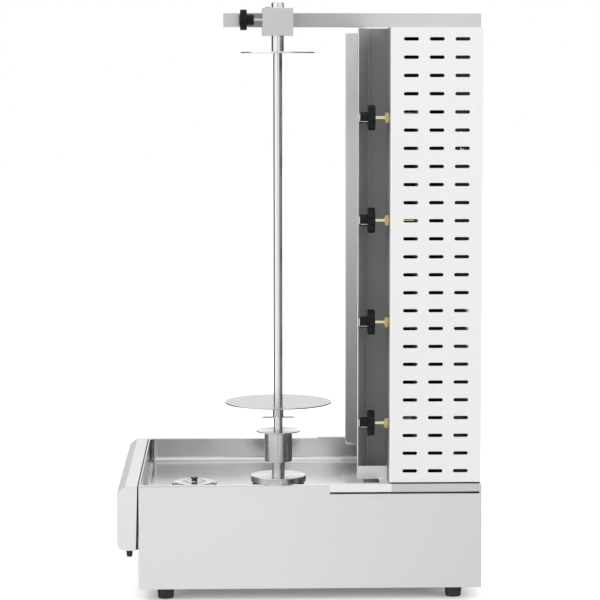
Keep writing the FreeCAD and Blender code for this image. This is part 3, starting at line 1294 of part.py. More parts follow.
doc.recompute()
failed = [thing.Label for thing in doc.Objects if {"Invalid", "Error"} & set(thing.State)]
if failed:
    raise RuntimeError("failed objects: " + ", ".join(failed))
for name, thing in NODES.items():
    if thing.Shape.isNull() or not thing.Shape.isValid() or not thing.Shape.Solids:
        raise RuntimeError(name + " has no valid shape")

os.makedirs("parts", exist_ok=True)
for name, thing in NODES.items():
    thing.Shape.exportStep(os.path.join("parts", name + ".step"))
print(len(NODES), "nodes written")
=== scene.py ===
import json
import math
import bpy
from mathutils import Matrix, Vector


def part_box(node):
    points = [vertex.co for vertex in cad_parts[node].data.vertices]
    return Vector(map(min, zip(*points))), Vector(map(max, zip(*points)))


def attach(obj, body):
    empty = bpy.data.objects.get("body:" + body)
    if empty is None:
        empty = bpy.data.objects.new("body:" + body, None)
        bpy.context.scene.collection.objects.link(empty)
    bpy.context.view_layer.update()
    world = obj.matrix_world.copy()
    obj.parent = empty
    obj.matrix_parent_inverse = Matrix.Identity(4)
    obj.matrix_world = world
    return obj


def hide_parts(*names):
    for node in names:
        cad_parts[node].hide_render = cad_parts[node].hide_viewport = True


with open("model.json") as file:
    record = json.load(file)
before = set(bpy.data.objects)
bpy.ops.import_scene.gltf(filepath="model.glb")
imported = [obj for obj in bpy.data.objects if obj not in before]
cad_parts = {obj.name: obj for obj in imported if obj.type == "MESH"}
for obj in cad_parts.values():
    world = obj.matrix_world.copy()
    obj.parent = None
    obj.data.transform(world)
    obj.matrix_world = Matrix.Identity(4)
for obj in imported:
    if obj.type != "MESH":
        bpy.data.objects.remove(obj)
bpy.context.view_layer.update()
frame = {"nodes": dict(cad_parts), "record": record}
node = frame["nodes"]
bpy.ops.object.select_all(action="DESELECT")

# Camera and studio. The grill stands on a white floor in a white room, seen square from its right side
# at the height of the tower's top. Dark flags beside the lens give the round metal its edges; metal
# mirrors the room and the flags, and neither the floor nor the lamps.
bpy.ops.object.camera_add(location=(4.0304, -0.1297, 0.8718))
camera = bpy.context.object
camera.name = "camera"
camera.data.sensor_width = 36
camera.data.lens = 135.31
camera.data.clip_end = 80
down, across, roll = math.radians(5.447), math.radians(1.793), math.radians(-0.027)
aim = Vector((-math.cos(down) * math.cos(across), math.cos(down) * math.sin(across), -math.sin(down)))
camera.rotation_euler = aim.to_track_quat("-Z", "Y").to_euler()
camera.rotation_euler.rotate_axis("Z", roll)
bpy.context.scene.camera = camera
bpy.context.scene.view_settings.view_transform = "Standard"

room = bpy.data.worlds.new("white_room")
bpy.context.scene.world = room
room.use_nodes = True
tree = room.node_tree
sky = tree.nodes["Background"]
ray = tree.nodes.new("ShaderNodeLightPath")
seen = tree.nodes.new("ShaderNodeMath")
seen.operation = "MAXIMUM"
tree.links.new(ray.outputs["Is Camera Ray"], seen.inputs[0])
tree.links.new(ray.outputs["Is Transmission Ray"], seen.inputs[1])
level = tree.nodes.new("ShaderNodeMix")
level.inputs["A"].default_value = 0.62
level.inputs["B"].default_value = 1.0
shown = tree.nodes.new("ShaderNodeMath")
shown.operation = "MAXIMUM"
tree.links.new(seen.outputs[0], shown.inputs[0])
tree.links.new(ray.outputs["Is Glossy Ray"], shown.inputs[1])
tree.links.new(shown.outputs[0], level.inputs["Factor"])
tree.links.new(level.outputs["Result"], sky.inputs["Strength"])
direction = tree.nodes.new("ShaderNodeTexCoord")
split = tree.nodes.new("ShaderNodeSeparateXYZ")
tree.links.new(direction.outputs["Generated"], split.inputs[0])
azimuth = tree.nodes.new("ShaderNodeMath")
azimuth.operation = "ARCTAN2"
tree.links.new(split.outputs["Y"], azimuth.inputs[0])
tree.links.new(split.outputs["X"], azimuth.inputs[1])
turn = tree.nodes.new("ShaderNodeMapRange")
turn.inputs["From Min"].default_value = -math.pi
turn.inputs["From Max"].default_value = math.pi
tree.links.new(azimuth.outputs[0], turn.inputs["Value"])
flags = tree.nodes.new("ShaderNodeValToRGB")
flags.color_ramp.elements[0].position = 0
flags.color_ramp.elements[0].color = (0.95, 0.95, 0.95, 1)
flags.color_ramp.elements[1].position = 1
flags.color_ramp.elements[1].color = (0.95, 0.95, 0.95, 1)
for degrees, shade in ((-172, 0.95), (-164, 0.1), (-98, 0.1), (-86, 1), (-12, 1), (-8, 0.4), (-2, 0.4),
                       (2, 0.82), (60, 0.78), (94, 0.9), (106, 0.1), (164, 0.1), (172, 0.95)):
    stop = flags.color_ramp.elements.new((degrees + 180) / 360)
    stop.color = (shade, shade, shade, 1)
tree.links.new(turn.outputs["Result"], flags.inputs["Fac"])
height = tree.nodes.new("ShaderNodeMath")
height.operation = "ABSOLUTE"
tree.links.new(split.outputs["Z"], height.inputs[0])
overhead = tree.nodes.new("ShaderNodeMapRange")
overhead.inputs["From Min"].default_value = 0.45
overhead.inputs["From Max"].default_value = 0.75
tree.links.new(height.outputs[0], overhead.inputs["Value"])
ring = tree.nodes.new("ShaderNodeMix")
ring.data_type = "RGBA"
ring.inputs["B"].default_value = (0.95, 0.95, 0.95, 1)
tree.links.new(overhead.outputs["Result"], ring.inputs["Factor"])
tree.links.new(flags.outputs["Color"], ring.inputs["A"])
mirror = tree.nodes.new("ShaderNodeMix")
mirror.data_type = "RGBA"
mirror.inputs["A"].default_value = (1, 1, 1, 1)
tree.links.new(ray.outputs["Is Glossy Ray"], mirror.inputs["Factor"])
tree.links.new(ring.outputs["Result"], mirror.inputs["B"])
tree.links.new(mirror.outputs["Result"], sky.inputs["Color"])

LAMP_SIZE, LIT_POINT = 2.4, Vector((0, 0, 0.45))
for name, place, watts in (("key_light", (3.0, -2.6, 3.4), 80), ("fill_light", (2.6, 3.0, 2.2), 40),
                           ("back_light", (-3.2, 0.4, 3.0), 34)):
    bpy.ops.object.light_add(type="AREA", location=place)
    lamp = bpy.context.object
    lamp.name = name
    lamp.data.size = LAMP_SIZE
    lamp.data.energy = watts
    lamp.rotation_euler = (LIT_POINT - lamp.location).to_track_quat("-Z", "Y").to_euler()
    lamp.visible_glossy = False

bpy.ops.mesh.primitive_plane_add(size=40)
floor = bpy.context.object
floor.name = "floor"
white = bpy.data.materials.new("floor_white")
white.use_nodes = True
tree = white.node_tree
tree.nodes.clear()
end = tree.nodes.new("ShaderNodeOutputMaterial")
matt = tree.nodes.new("ShaderNodeBsdfDiffuse")
matt.inputs["Color"].default_value = (0.6, 0.6, 0.6, 1)
glow = tree.nodes.new("ShaderNodeEmission")
ray = tree.nodes.new("ShaderNodeLightPath")
seen = tree.nodes.new("ShaderNodeMath")
seen.operation = "MAXIMUM"
tree.links.new(ray.outputs["Is Camera Ray"], seen.inputs[0])
tree.links.new(ray.outputs["Is Transmission Ray"], seen.inputs[1])
# The floor's glow is turned down under and near the grill by its distance from the middle, a painted shadow
# around the base.
place = tree.nodes.new("ShaderNodeTexCoord")
split = tree.nodes.new("ShaderNodeSeparateXYZ")
tree.links.new(place.outputs["Object"], split.inputs[0])
away = tree.nodes.new("ShaderNodeMath")
away.operation = "MAXIMUM"
for axis, entry in (("X", 0), ("Y", 1)):
    far = tree.nodes.new("ShaderNodeMath")
    far.operation = "ABSOLUTE"
    tree.links.new(split.outputs[axis], far.inputs[0])
    tree.links.new(far.outputs[0], away.inputs[entry])
fade = tree.nodes.new("ShaderNodeMapRange")
fade.inputs["From Min"].default_value = 0.2
fade.inputs["From Max"].default_value = 1.2
tree.links.new(away.outputs[0], fade.inputs["Value"])
lit = tree.nodes.new("ShaderNodeValToRGB")
lit.color_ramp.elements[0].color = (0.05, 0.05, 0.05, 1)
lit.color_ramp.elements[1].color = (0.8, 0.8, 0.8, 1)
for at, shade in ((0.05, 0.2), (0.1, 0.6)):
    stop = lit.color_ramp.elements.new(at)
    stop.color = (shade, shade, shade, 1)
tree.links.new(fade.outputs["Result"], lit.inputs["Fac"])
share = tree.nodes.new("ShaderNodeMath")
share.operation = "MULTIPLY"
tree.links.new(seen.outputs[0], share.inputs[0])
tree.links.new(lit.outputs["Color"], share.inputs[1])
tree.links.new(share.outputs[0], glow.inputs["Strength"])
both = tree.nodes.new("ShaderNodeAddShader")
tree.links.new(matt.outputs[0], both.inputs[0])
tree.links.new(glow.outputs[0], both.inputs[1])
tree.links.new(both.outputs[0], end.inputs["Surface"])
floor.data.materials.append(white)
floor.visible_glossy = False


# Base shell and its floor pan. Folded stainless sheet, brushed along its length, welded at the corners
# and dressed smooth. The pan closes the shell from below.
def brushed(name, tint, roughness, grain, streak=0.03, relief=0.02, metallic=1.0):
    """Rolled or brushed steel: grain is how often the brushing changes per metre along X, Y and Z."""
    steel = bpy.data.materials.new(name)
    steel.use_nodes = True
    tree = steel.node_tree
    shader = tree.nodes["Principled BSDF"]
    shader.inputs["Metallic"].default_value = metallic
    place = tree.nodes.new("ShaderNodeTexCoord")
    stretch = tree.nodes.new("ShaderNodeMapping")
    stretch.inputs["Scale"].default_value = grain
    tree.links.new(place.outputs["Object"], stretch.inputs["Vector"])
    brush = tree.nodes.new("ShaderNodeTexNoise")
    brush.inputs["Scale"].default_value = 1
    brush.inputs["Detail"].default_value = 5
    brush.inputs["Roughness"].default_value = 0.65
    tree.links.new(stretch.outputs[0], brush.inputs["Vector"])
    cloud = tree.nodes.new("ShaderNodeTexNoise")
    cloud.inputs["Scale"].default_value = 5
    cloud.inputs["Detail"].default_value = 3
    tree.links.new(place.outputs["Object"], cloud.inputs["Vector"])
    sum_up = tree.nodes.new("ShaderNodeMath")
    sum_up.operation = "MULTIPLY_ADD"
    sum_up.inputs[1].default_value = 0.6
    tree.links.new(cloud.outputs["Fac"], sum_up.inputs[0])
    tree.links.new(brush.outputs["Fac"], sum_up.inputs[2])
    shade = tree.nodes.new("ShaderNodeValToRGB")
    shade.color_ramp.elements[0].position = 0.5
    shade.color_ramp.elements[0].color = [c * (1 - streak) for c in tint] + [1]
    shade.color_ramp.elements[1].position = 0.9875
    shade.color_ramp.elements[1].color = [min(c * (1 + streak), 1) for c in tint] + [1]
    tree.links.new(sum_up.outputs[0], shade.inputs["Fac"])
    tree.links.new(shade.outputs["Color"], shader.inputs["Base Color"])
    gloss = tree.nodes.new("ShaderNodeMapRange")
    gloss.inputs["To Min"].default_value = roughness * 0.85
    gloss.inputs["To Max"].default_value = roughness * 1.15
    tree.links.new(brush.outputs["Fac"], gloss.inputs["Value"])
    tree.links.new(gloss.outputs["Result"], shader.inputs["Roughness"])
    bump = tree.nodes.new("ShaderNodeBump")
    bump.inputs["Strength"].default_value = relief
    bump.inputs["Distance"].default_value = 0.0004
    tree.links.new(brush.outputs["Fac"], bump.inputs["Height"])
    tree.links.new(bump.outputs["Normal"], shader.inputs["Normal"])
    return steel


def graded(metal, axis, low, high, shades):
    """Paints shade into a metal's colour along X, Y or Z, where its surroundings darken it. Each shade is
    (share, level).
    """
    tree = metal.node_tree
    shader = tree.nodes["Principled BSDF"]
    colour = shader.inputs["Base Color"].links[0].from_socket
    place = tree.nodes.new("ShaderNodeTexCoord")
    split = tree.nodes.new("ShaderNodeSeparateXYZ")
    tree.links.new(place.outputs["Object"], split.inputs[0])
    along = tree.nodes.new("ShaderNodeMapRange")
    along.inputs["From Min"].default_value = low
    along.inputs["From Max"].default_value = high
    tree.links.new(split.outputs[axis], along.inputs["Value"])
    ramp = tree.nodes.new("ShaderNodeValToRGB")
    for at, shade in shades[1:-1]:
        ramp.color_ramp.elements.new(at)
    for stop, (at, shade) in zip(ramp.color_ramp.elements, shades):
        stop.position = at
        stop.color = (shade, shade, shade, 1)
    tree.links.new(along.outputs["Result"], ramp.inputs["Fac"])
    mix = tree.nodes.new("ShaderNodeMix")
    mix.data_type = "RGBA"
    mix.blend_type = "MULTIPLY"
    mix.inputs["Factor"].default_value = 1
    tree.links.new(colour, mix.inputs["A"])
    tree.links.new(ramp.outputs["Color"], mix.inputs["B"])
    tree.links.new(mix.outputs["Result"], shader.inputs["Base Color"])
    return metal


def finish(names, material):
    """Gives CAD nodes their material."""
    for name in names:
        for place in node[name].material_slots:
            place.material = material


bodies = {member: body for body, members in frame["record"]["behaviour"]["bodies"].items()
          for member in members}


def pick(piece, kind, chosen):
    """Leaves a piece in edit mode with only the faces or edges selected that chosen(element) picks."""
    if bpy.context.mode != "OBJECT":
        bpy.ops.object.mode_set(mode="OBJECT")
    bpy.ops.object.select_all(action="DESELECT")
    piece.select_set(True)
    bpy.context.view_layer.objects.active = piece
    bpy.ops.object.mode_set(mode="EDIT")
    bpy.ops.mesh.select_mode(type="FACE" if kind == "polygons" else "EDGE")
    bpy.ops.mesh.select_all(action="DESELECT")
    bpy.ops.object.mode_set(mode="OBJECT")
    count = 0
    for element in getattr(piece.data, kind):
        element.select = bool(chosen(element))
        count += element.select
    bpy.ops.object.mode_set(mode="EDIT")
    return count


def settle(piece, angle=35):
    """Ends the work on a mesh, with smooth bends and sharp folds."""
    if bpy.context.mode != "OBJECT":
        bpy.ops.object.mode_set(mode="OBJECT")
    bpy.ops.object.select_all(action="DESELECT")
    piece.select_set(True)
    bpy.context.view_layer.objects.active = piece
    bpy.ops.object.shade_smooth_by_angle(angle=math.radians(angle))
    bpy.ops.object.modifier_add(type="WEIGHTED_NORMAL")
    piece.modifiers[-1].keep_sharp = True
    bpy.ops.object.modifier_apply(modifier=piece.modifiers[-1].name)


def join_body(piece, body, material):
    """Gives a finished piece its material and its body."""
    piece.data.materials.clear()
    piece.data.materials.append(material)
    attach(piece, body)
    return piece


def dressed(name, material, edge=0.0003, segments=2, angle=35):
    """A copy of a CAD node, merged and with its sharp edges broken, that stands for the node."""
    piece = bpy.data.objects.new(name + "_finished", node[name].data.copy())
    bpy.context.scene.collection.objects.link(piece)
    pick(piece, "polygons", lambda face: True)
    bpy.ops.mesh.remove_doubles(threshold=0.00001)
    bpy.ops.mesh.dissolve_limited(angle_limit=math.radians(0.5))
    bpy.ops.object.mode_set(mode="OBJECT")
    bpy.ops.object.modifier_add(type="BEVEL")
    broken = piece.modifiers[-1]
    broken.width = edge
    broken.segments = segments
    broken.angle_limit = math.radians(angle)
    bpy.ops.object.modifier_apply(modifier=broken.name)
    settle(piece)
    join_body(piece, bodies[name], material)
    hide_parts(name)
    return piece


shell_low, shell_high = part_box("base_shell")
# The shell's colour is painted darker towards the back, a painted shade.
satin_steel = graded(brushed("satin_steel", (0.88, 0.88, 0.88), 0.38, (4, 4, 300), 0.01, 0.005, 0.35),
                     "Y", shell_low.y, shell_high.y, ((0, 1), (0.35, 0.99), (1, 0.87)))
dressed("base_shell", satin_steel, 0.001, 3)
finish(["base_floor_pan"], satin_steel)

HEAD_RADIUS, HEAD_HEIGHT, HEAD_ROUNDING = 0.0038, 0.0024, 0.0011
CROSS_LENGTH, CROSS_WIDTH, CROSS_HEIGHT, CROSS_MIDDLE = 0.0046, 0.001, 0.003, 0.0026
bpy.ops.mesh.primitive_cylinder_add(vertices=20, radius=HEAD_RADIUS, depth=HEAD_HEIGHT,
                                    location=(0, 0, HEAD_HEIGHT / 2))
screw_head = bpy.context.object
pick(screw_head, "edges", lambda edge: all(screw_head.data.vertices[v].co.z > HEAD_HEIGHT * 0.8
                                           for v in edge.vertices))
bpy.ops.mesh.bevel(offset=HEAD_ROUNDING, segments=3)
settle(screw_head, 30)
for size in ((CROSS_LENGTH, CROSS_WIDTH, CROSS_HEIGHT), (CROSS_WIDTH, CROSS_LENGTH, CROSS_HEIGHT)):
    bpy.ops.mesh.primitive_cube_add(size=1, location=(0, 0, CROSS_MIDDLE), scale=size)
    blade = bpy.context.object
    recess = screw_head.modifiers.new("recess", "BOOLEAN")
    recess.object = blade
    bpy.context.view_layer.objects.active = screw_head
    bpy.ops.object.modifier_apply(modifier=recess.name)
    bpy.data.objects.remove(blade)
settle(screw_head, 30)
zinc = brushed("zinc", (0.62, 0.62, 0.60), 0.3, (300, 300, 300))


def copied(template, name, place, facing, body, material):
    """A copy of a small part modelled on the origin, standing on place and looking along facing."""
    piece = bpy.data.objects.new(name, template.data.copy())
    bpy.context.scene.collection.objects.link(piece)
    turn = Vector(facing).to_track_quat("Z", "Y").to_matrix().to_4x4()
    piece.data.transform(Matrix.Translation(place) @ turn)
    return join_body(piece, body, material)


SPIT_Y = (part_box("drive_socket")[0].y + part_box("drive_socket")[1].y) / 2
PAN_SCREW_INSET, PAN_SCREW_STEPS = 0.0105, (-0.0715, -0.037, 0.037, 0.0715)
for side, x in (("left", shell_low.x + PAN_SCREW_INSET), ("right", shell_high.x - PAN_SCREW_INSET)):
    for i, step in enumerate(PAN_SCREW_STEPS, start=1):
        copied(screw_head, f"pan_screw_{side}_{i}", (x, SPIT_Y + step, shell_low.z), (0, 0, -1), "base",
               zinc)


# Drawer. A folded front with a sloping upper edge, soft bends and end plates welded in, and the sheet
# box behind it that catches the fat.
low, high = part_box("drawer_front")
# The drawer front's colour is painted a little darker at its foot and along its top, a painted shade.
front_steel = graded(brushed("drawer_front_steel", (0.92, 0.92, 0.92), 0.42, (4, 4, 300), 0.01, 0.005, 0.35),
                     "Z", low.z, high.z, ((0, 0.97), (0.85, 1), (1, 0.97)))
inner_steel = brushed("inner_steel", (0.58, 0.58, 0.58), 0.38, (6, 500, 500))
LEAN, SHEET, SOFT_BEND, LOWER_BEND, NEAR = 0.003, 0.0012, 0.00126, 0.012, 0.0005
SLOPE_DEPTH, SLOPE_DROP = 0.014, 0.0105
bpy.ops.mesh.primitive_cube_add(size=1, location=(low + high) / 2, scale=high - low)
drawer_front = bpy.context.object
drawer_front.name = "drawer_front_finished"
bpy.ops.object.transform_apply(location=True, scale=True)
corner = drawer_front.data.vertices


def along_front(y, z):
    """Edges of the drawer front that run its full width at y and z."""
    return lambda edge: all(abs(corner[v].co.y - y) < NEAR and abs(corner[v].co.z - z) < NEAR
                            for v in edge.vertices)


pick(drawer_front, "edges", along_front(high.y, low.z))
bpy.ops.transform.translate(value=(0, -LEAN, 0))
bpy.ops.mesh.select_all(action="SELECT")
bpy.ops.mesh.bisect(plane_co=(0, low.y, high.z - SLOPE_DROP), plane_no=(0, -SLOPE_DROP, SLOPE_DEPTH),
                    use_fill=True, clear_outer=True)
for y, z, radius, parts in ((low.y, low.z, LOWER_BEND, 8), (low.y, high.z - SLOPE_DROP, SOFT_BEND, 4),
                            (low.y + SLOPE_DEPTH, high.z, SOFT_BEND, 4)):
    pick(drawer_front, "edges", along_front(y, z))
    bpy.ops.mesh.bevel(offset=radius, segments=parts)
pick(drawer_front, "polygons", lambda face: face.normal.y > 0.9)
bpy.ops.mesh.delete(type="ONLY_FACE")
bpy.ops.object.mode_set(mode="OBJECT")
bpy.ops.object.modifier_add(type="SOLIDIFY")
drawer_front.modifiers[-1].thickness = SHEET
drawer_front.modifiers[-1].use_even_offset = True
bpy.ops.object.modifier_apply(modifier=drawer_front.modifiers[-1].name)
END_WELD, END_SUNK = 0.00096, 0.0003
pick(drawer_front, "polygons", lambda face: abs(face.normal.x) > 0.9 and
     abs(face.center.x) > high.x - SHEET / 2)
bpy.ops.mesh.inset(thickness=END_WELD, depth=-END_SUNK)
settle(drawer_front)
join_body(drawer_front, "drawer", front_steel)
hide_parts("drawer_front")
dressed("drawer_box", inner_steel, 0.0002)
finish(["drawer_runners"], inner_steel)


# Feet and the drawer's bumpers. Moulded black rubber; each foot is held by a screw from below.
def moulded(name, tint, roughness, pebble=900, relief=0.12, spread=0.25):
    """Moulded plastic, rubber or paint, with a fine pebble in its skin."""
    skin = bpy.data.materials.new(name)
    skin.use_nodes = True
    tree = skin.node_tree
    shader = tree.nodes["Principled BSDF"]
    place = tree.nodes.new("ShaderNodeTexCoord")
    fine = tree.nodes.new("ShaderNodeTexNoise")
    fine.inputs["Scale"].default_value = pebble
    fine.inputs["Detail"].default_value = 3
    tree.links.new(place.outputs["Object"], fine.inputs["Vector"])
    broad = tree.nodes.new("ShaderNodeTexNoise")
    broad.inputs["Scale"].default_value = 45
    broad.inputs["Detail"].default_value = 4
    tree.links.new(place.outputs["Object"], broad.inputs["Vector"])
    shade = tree.nodes.new("ShaderNodeValToRGB")
    shade.color_ramp.elements[0].position = 0.35
    shade.color_ramp.elements[0].color = [c * (1 - spread) for c in tint] + [1]
    shade.color_ramp.elements[1].position = 0.68
    shade.color_ramp.elements[1].color = [min(c * (1 + spread), 1) for c in tint] + [1]
    tree.links.new(broad.outputs["Fac"], shade.inputs["Fac"])
    tree.links.new(shade.outputs["Color"], shader.inputs["Base Color"])
    gloss = tree.nodes.new("ShaderNodeMapRange")
    gloss.inputs["To Min"].default_value = roughness - 0.07
    gloss.inputs["To Max"].default_value = roughness + 0.07
    tree.links.new(broad.outputs["Fac"], gloss.inputs["Value"])
    tree.links.new(gloss.outputs["Result"], shader.inputs["Roughness"])
    bump = tree.nodes.new("ShaderNodeBump")
    bump.inputs["Strength"].default_value = relief
    bump.inputs["Distance"].default_value = 0.0003
    tree.links.new(fine.outputs["Fac"], bump.inputs["Height"])
    tree.links.new(bump.outputs["Normal"], shader.inputs["Normal"])
    return skin


black_rubber = moulded("black_rubber", (0.014, 0.014, 0.014), 0.55)
dressed("feet", black_rubber, 0.0006, 3)
dressed("drawer_bumpers", black_rubber, 0.0008, 3)
# The seals are black rubber strips in the gap between the drawer front and the shell, a dark strip put where
# the gap lies in shade: painted shade.
dressed("drawer_seals", black_rubber, 0.0006, 3)
low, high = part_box("feet")
FOOT_RADIUS, COUNTERBORE_DEPTH = 0.015, 0.0067
for i, (x, y) in enumerate([(x, y) for x in (low.x + FOOT_RADIUS, high.x - FOOT_RADIUS)
                            for y in (low.y + FOOT_RADIUS, high.y - FOOT_RADIUS)], start=1):
    copied(screw_head, f"foot_screw_{i}", (x, y, COUNTERBORE_DEPTH), (0, 0, -1), "base",
           zinc)


# Basin with its drain. Deep drawn polished sheet under a folded rim, the drain's tail spun from tube.
low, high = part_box("basin")
# The basin's colour is painted darker towards the front, a painted shade.
basin_steel = graded(brushed("basin_steel", (0.88, 0.88, 0.88), 0.17, (6, 40, 40), 0.02, 0),
                     "Y", low.y, -0.02, ((0, 0.72), (0.5, 0.88), (1, 1)))
drain_steel = brushed("drain_steel", (0.92, 0.92, 0.92), 0.2, (300, 300, 300), relief=0.01)
drain_dark = brushed("drain_dark", (0.12, 0.12, 0.12), 0.4, (300, 300, 300))
dressed("basin", basin_steel, 0.0008, 3)


def lined(piece, material, chosen):
    """Gives the faces that chosen(face) picks a second material."""
    piece.data.materials.append(material)
    pick(piece, "polygons", chosen)
    piece.active_material_index = 1
    bpy.ops.object.material_slot_assign()
    bpy.ops.object.mode_set(mode="OBJECT")


low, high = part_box("strainer_basket")
hub = (low + high) / 2
TAIL_INSIDE, KNOB_RADIUS = 0.0288, 0.0066
# The drain tail's inner faces are painted dark, a painted shade inside the tube; the strainer's knob top is
# given the same dark colour.
lined(dressed("drain_tail", drain_steel, 0.0003), drain_dark, lambda face: abs(face.normal.z) < 0.5 and
      math.hypot(face.center.x - hub.x, face.center.y - hub.y) < TAIL_INSIDE)
lined(dressed("strainer_basket", drain_steel, 0.0002), drain_dark,
      lambda face: face.center.z > high.z - KNOB_RADIUS and
      math.hypot(face.center.x - hub.x, face.center.y - hub.y) < KNOB_RADIUS)


# Drive below and in the basin. A cast gearbox with its motor turns the shaft. The gasket, the flange
# and the socket are turned parts around the spit's axis.
def turned(name, tint, roughness, rings=1400, relief=0.02, drawn_out=0.9):
    """Turned metal. The tool's fine rings around the spit's axis draw its reflections out along the axis."""
    metal = bpy.data.materials.new(name)
    metal.use_nodes = True
    tree = metal.node_tree
    shader = tree.nodes["Principled BSDF"]
    shader.inputs["Metallic"].default_value = 1
    rings_run = tree.nodes.new("ShaderNodeTangent")
    rings_run.direction_type = "RADIAL"
    rings_run.axis = "Z"
    tree.links.new(rings_run.outputs[0], shader.inputs["Tangent"])
    shader.inputs["Anisotropic"].default_value = drawn_out
    shader.inputs["Anisotropic Rotation"].default_value = 0.25
    place = tree.nodes.new("ShaderNodeTexCoord")
    centre = tree.nodes.new("ShaderNodeMapping")
    centre.inputs["Location"].default_value = (0, -SPIT_Y, 0)
    tree.links.new(place.outputs["Object"], centre.inputs["Vector"])
    level = tree.nodes.new("ShaderNodeVectorMath")
    level.operation = "MULTIPLY"
    level.inputs[1].default_value = (1, 1, 0)
    tree.links.new(centre.outputs[0], level.inputs[0])
    radius = tree.nodes.new("ShaderNodeVectorMath")
    radius.operation = "LENGTH"
    tree.links.new(level.outputs[0], radius.inputs[0])
    split = tree.nodes.new("ShaderNodeSeparateXYZ")
    tree.links.new(place.outputs["Object"], split.inputs[0])
    profile = tree.nodes.new("ShaderNodeCombineXYZ")
    tree.links.new(radius.outputs["Value"], profile.inputs["X"])
    tree.links.new(split.outputs["Z"], profile.inputs["Y"])
    tool = tree.nodes.new("ShaderNodeTexNoise")
    tool.inputs["Scale"].default_value = rings
    tool.inputs["Detail"].default_value = 2
    tree.links.new(profile.outputs[0], tool.inputs["Vector"])
    shade = tree.nodes.new("ShaderNodeValToRGB")
    shade.color_ramp.elements[0].position = 0.3
    shade.color_ramp.elements[0].color = [c * 0.93 for c in tint] + [1]
    shade.color_ramp.elements[1].position = 0.7
    shade.color_ramp.elements[1].color = [min(c * 1.05, 1) for c in tint] + [1]
    tree.links.new(tool.outputs["Fac"], shade.inputs["Fac"])
    tree.links.new(shade.outputs["Color"], shader.inputs["Base Color"])
    gloss = tree.nodes.new("ShaderNodeMapRange")
    gloss.inputs["To Min"].default_value = roughness * 0.8
    gloss.inputs["To Max"].default_value = roughness * 1.2
    tree.links.new(tool.outputs["Fac"], gloss.inputs["Value"])
    tree.links.new(gloss.outputs["Result"], shader.inputs["Roughness"])
    bump = tree.nodes.new("ShaderNodeBump")
    bump.inputs["Strength"].default_value = relief
    bump.inputs["Distance"].default_value = 0.0002
    tree.links.new(tool.outputs["Fac"], bump.inputs["Height"])
    tree.links.new(bump.outputs["Normal"], shader.inputs["Normal"])
    return metal


turned_steel = turned("turned_steel", (0.92, 0.92, 0.92), 0.26)
gearbox_metal = moulded("gearbox_metal", (0.42, 0.43, 0.44), 0.5, 500, 0.3)
gearbox_metal.node_tree.nodes["Principled BSDF"].inputs["Metallic"].default_value = 1
motor_black = moulded("motor_black", (0.02, 0.02, 0.022), 0.4)
dressed("bearing_flange", turned_steel, 0.0006, 1)
dressed("drive_socket", turned_steel, 0.0005, 1)
dressed("shaft_gasket", black_rubber, 0.0006)
dressed("gearbox", gearbox_metal, 0.0015, 3)
dressed("gear_motor", motor_black, 0.0008, 3)
finish(["drive_shaft"], turned_steel)


# Spit with its cross pin, and the lower meat disc that stands on the pin. Ground round bar and
# polished discs.
bright_steel = turned("bright_steel", (0.92, 0.92, 0.92), 0.2, 900)
disc_steel = turned("disc_steel", (0.6, 0.6, 0.6), 0.2, 900, 0.03, 0)
dressed("spit_rod", bright_steel, 0.0002, 1)
dressed("cross_pin", bright_steel, 0.0003, 1)
dressed("lower_disc", disc_steel, 0.0005, 1)


# Arm. A square tube post behind the base, held by welded cleats, with a beam over the spit.
low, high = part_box("arm_beam")
# The beam's colour is painted darkest between the lock knob and the clamp block and lighter again towards
# its far end, a painted shade.
arm_steel = graded(brushed("arm_steel", (0.90, 0.90, 0.90), 0.3, (300, 5, 300), 0.02, 0.01),
                   "Y", low.y, high.y, ((0, 0.9), (0.066, 0.86), (0.1, 0.46), (0.153, 0.4), (0.27, 0.58),
                                        (0.476, 0.76), (0.605, 0.92), (1, 0.95)))
post_steel = brushed("post_steel", (0.74, 0.74, 0.74), 0.3, (500, 500, 5))
dressed("arm_beam", arm_steel, 0.0015, 3)
dressed("arm_post", post_steel, 0.0012, 3)
dressed("post_cleats", post_steel, 0.0005)
WASHER_RADIUS, WASHER_THICK, HEX_RADIUS, HEX_HEIGHT = 0.0068, 0.0014, 0.0058, 0.0042
bpy.ops.mesh.primitive_cylinder_add(vertices=24, radius=WASHER_RADIUS, depth=WASHER_THICK,
                                    location=(0, 0, WASHER_THICK / 2))
bolt_head = bpy.context.object
bpy.ops.mesh.primitive_cylinder_add(vertices=6, radius=HEX_RADIUS, depth=HEX_HEIGHT,
                                    location=(0, 0, WASHER_THICK + HEX_HEIGHT / 2))
bpy.ops.object.mode_set(mode="EDIT")
bpy.ops.mesh.bevel(offset=0.0005, segments=2)
bpy.ops.object.mode_set(mode="OBJECT")
bolt_head.select_set(True)
bpy.context.view_layer.objects.active = bolt_head
bpy.ops.object.join()
settle(bolt_head, 30)
low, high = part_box("post_cleats")
CLEAT_THICK, CLEAT_HALF_HEIGHT, BOLT_FROM_END = 0.003, 0.013, 0.0085
for i, (x, z) in enumerate([(x, z) for x in (low.x + BOLT_FROM_END, high.x - BOLT_FROM_END)
                            for z in (low.z + CLEAT_HALF_HEIGHT, high.z - CLEAT_HALF_HEIGHT)], start=1):
    copied(bolt_head, f"cleat_bolt_{i}", (x, low.y + CLEAT_THICK, z), (0, 1, 0), "base",
           zinc)


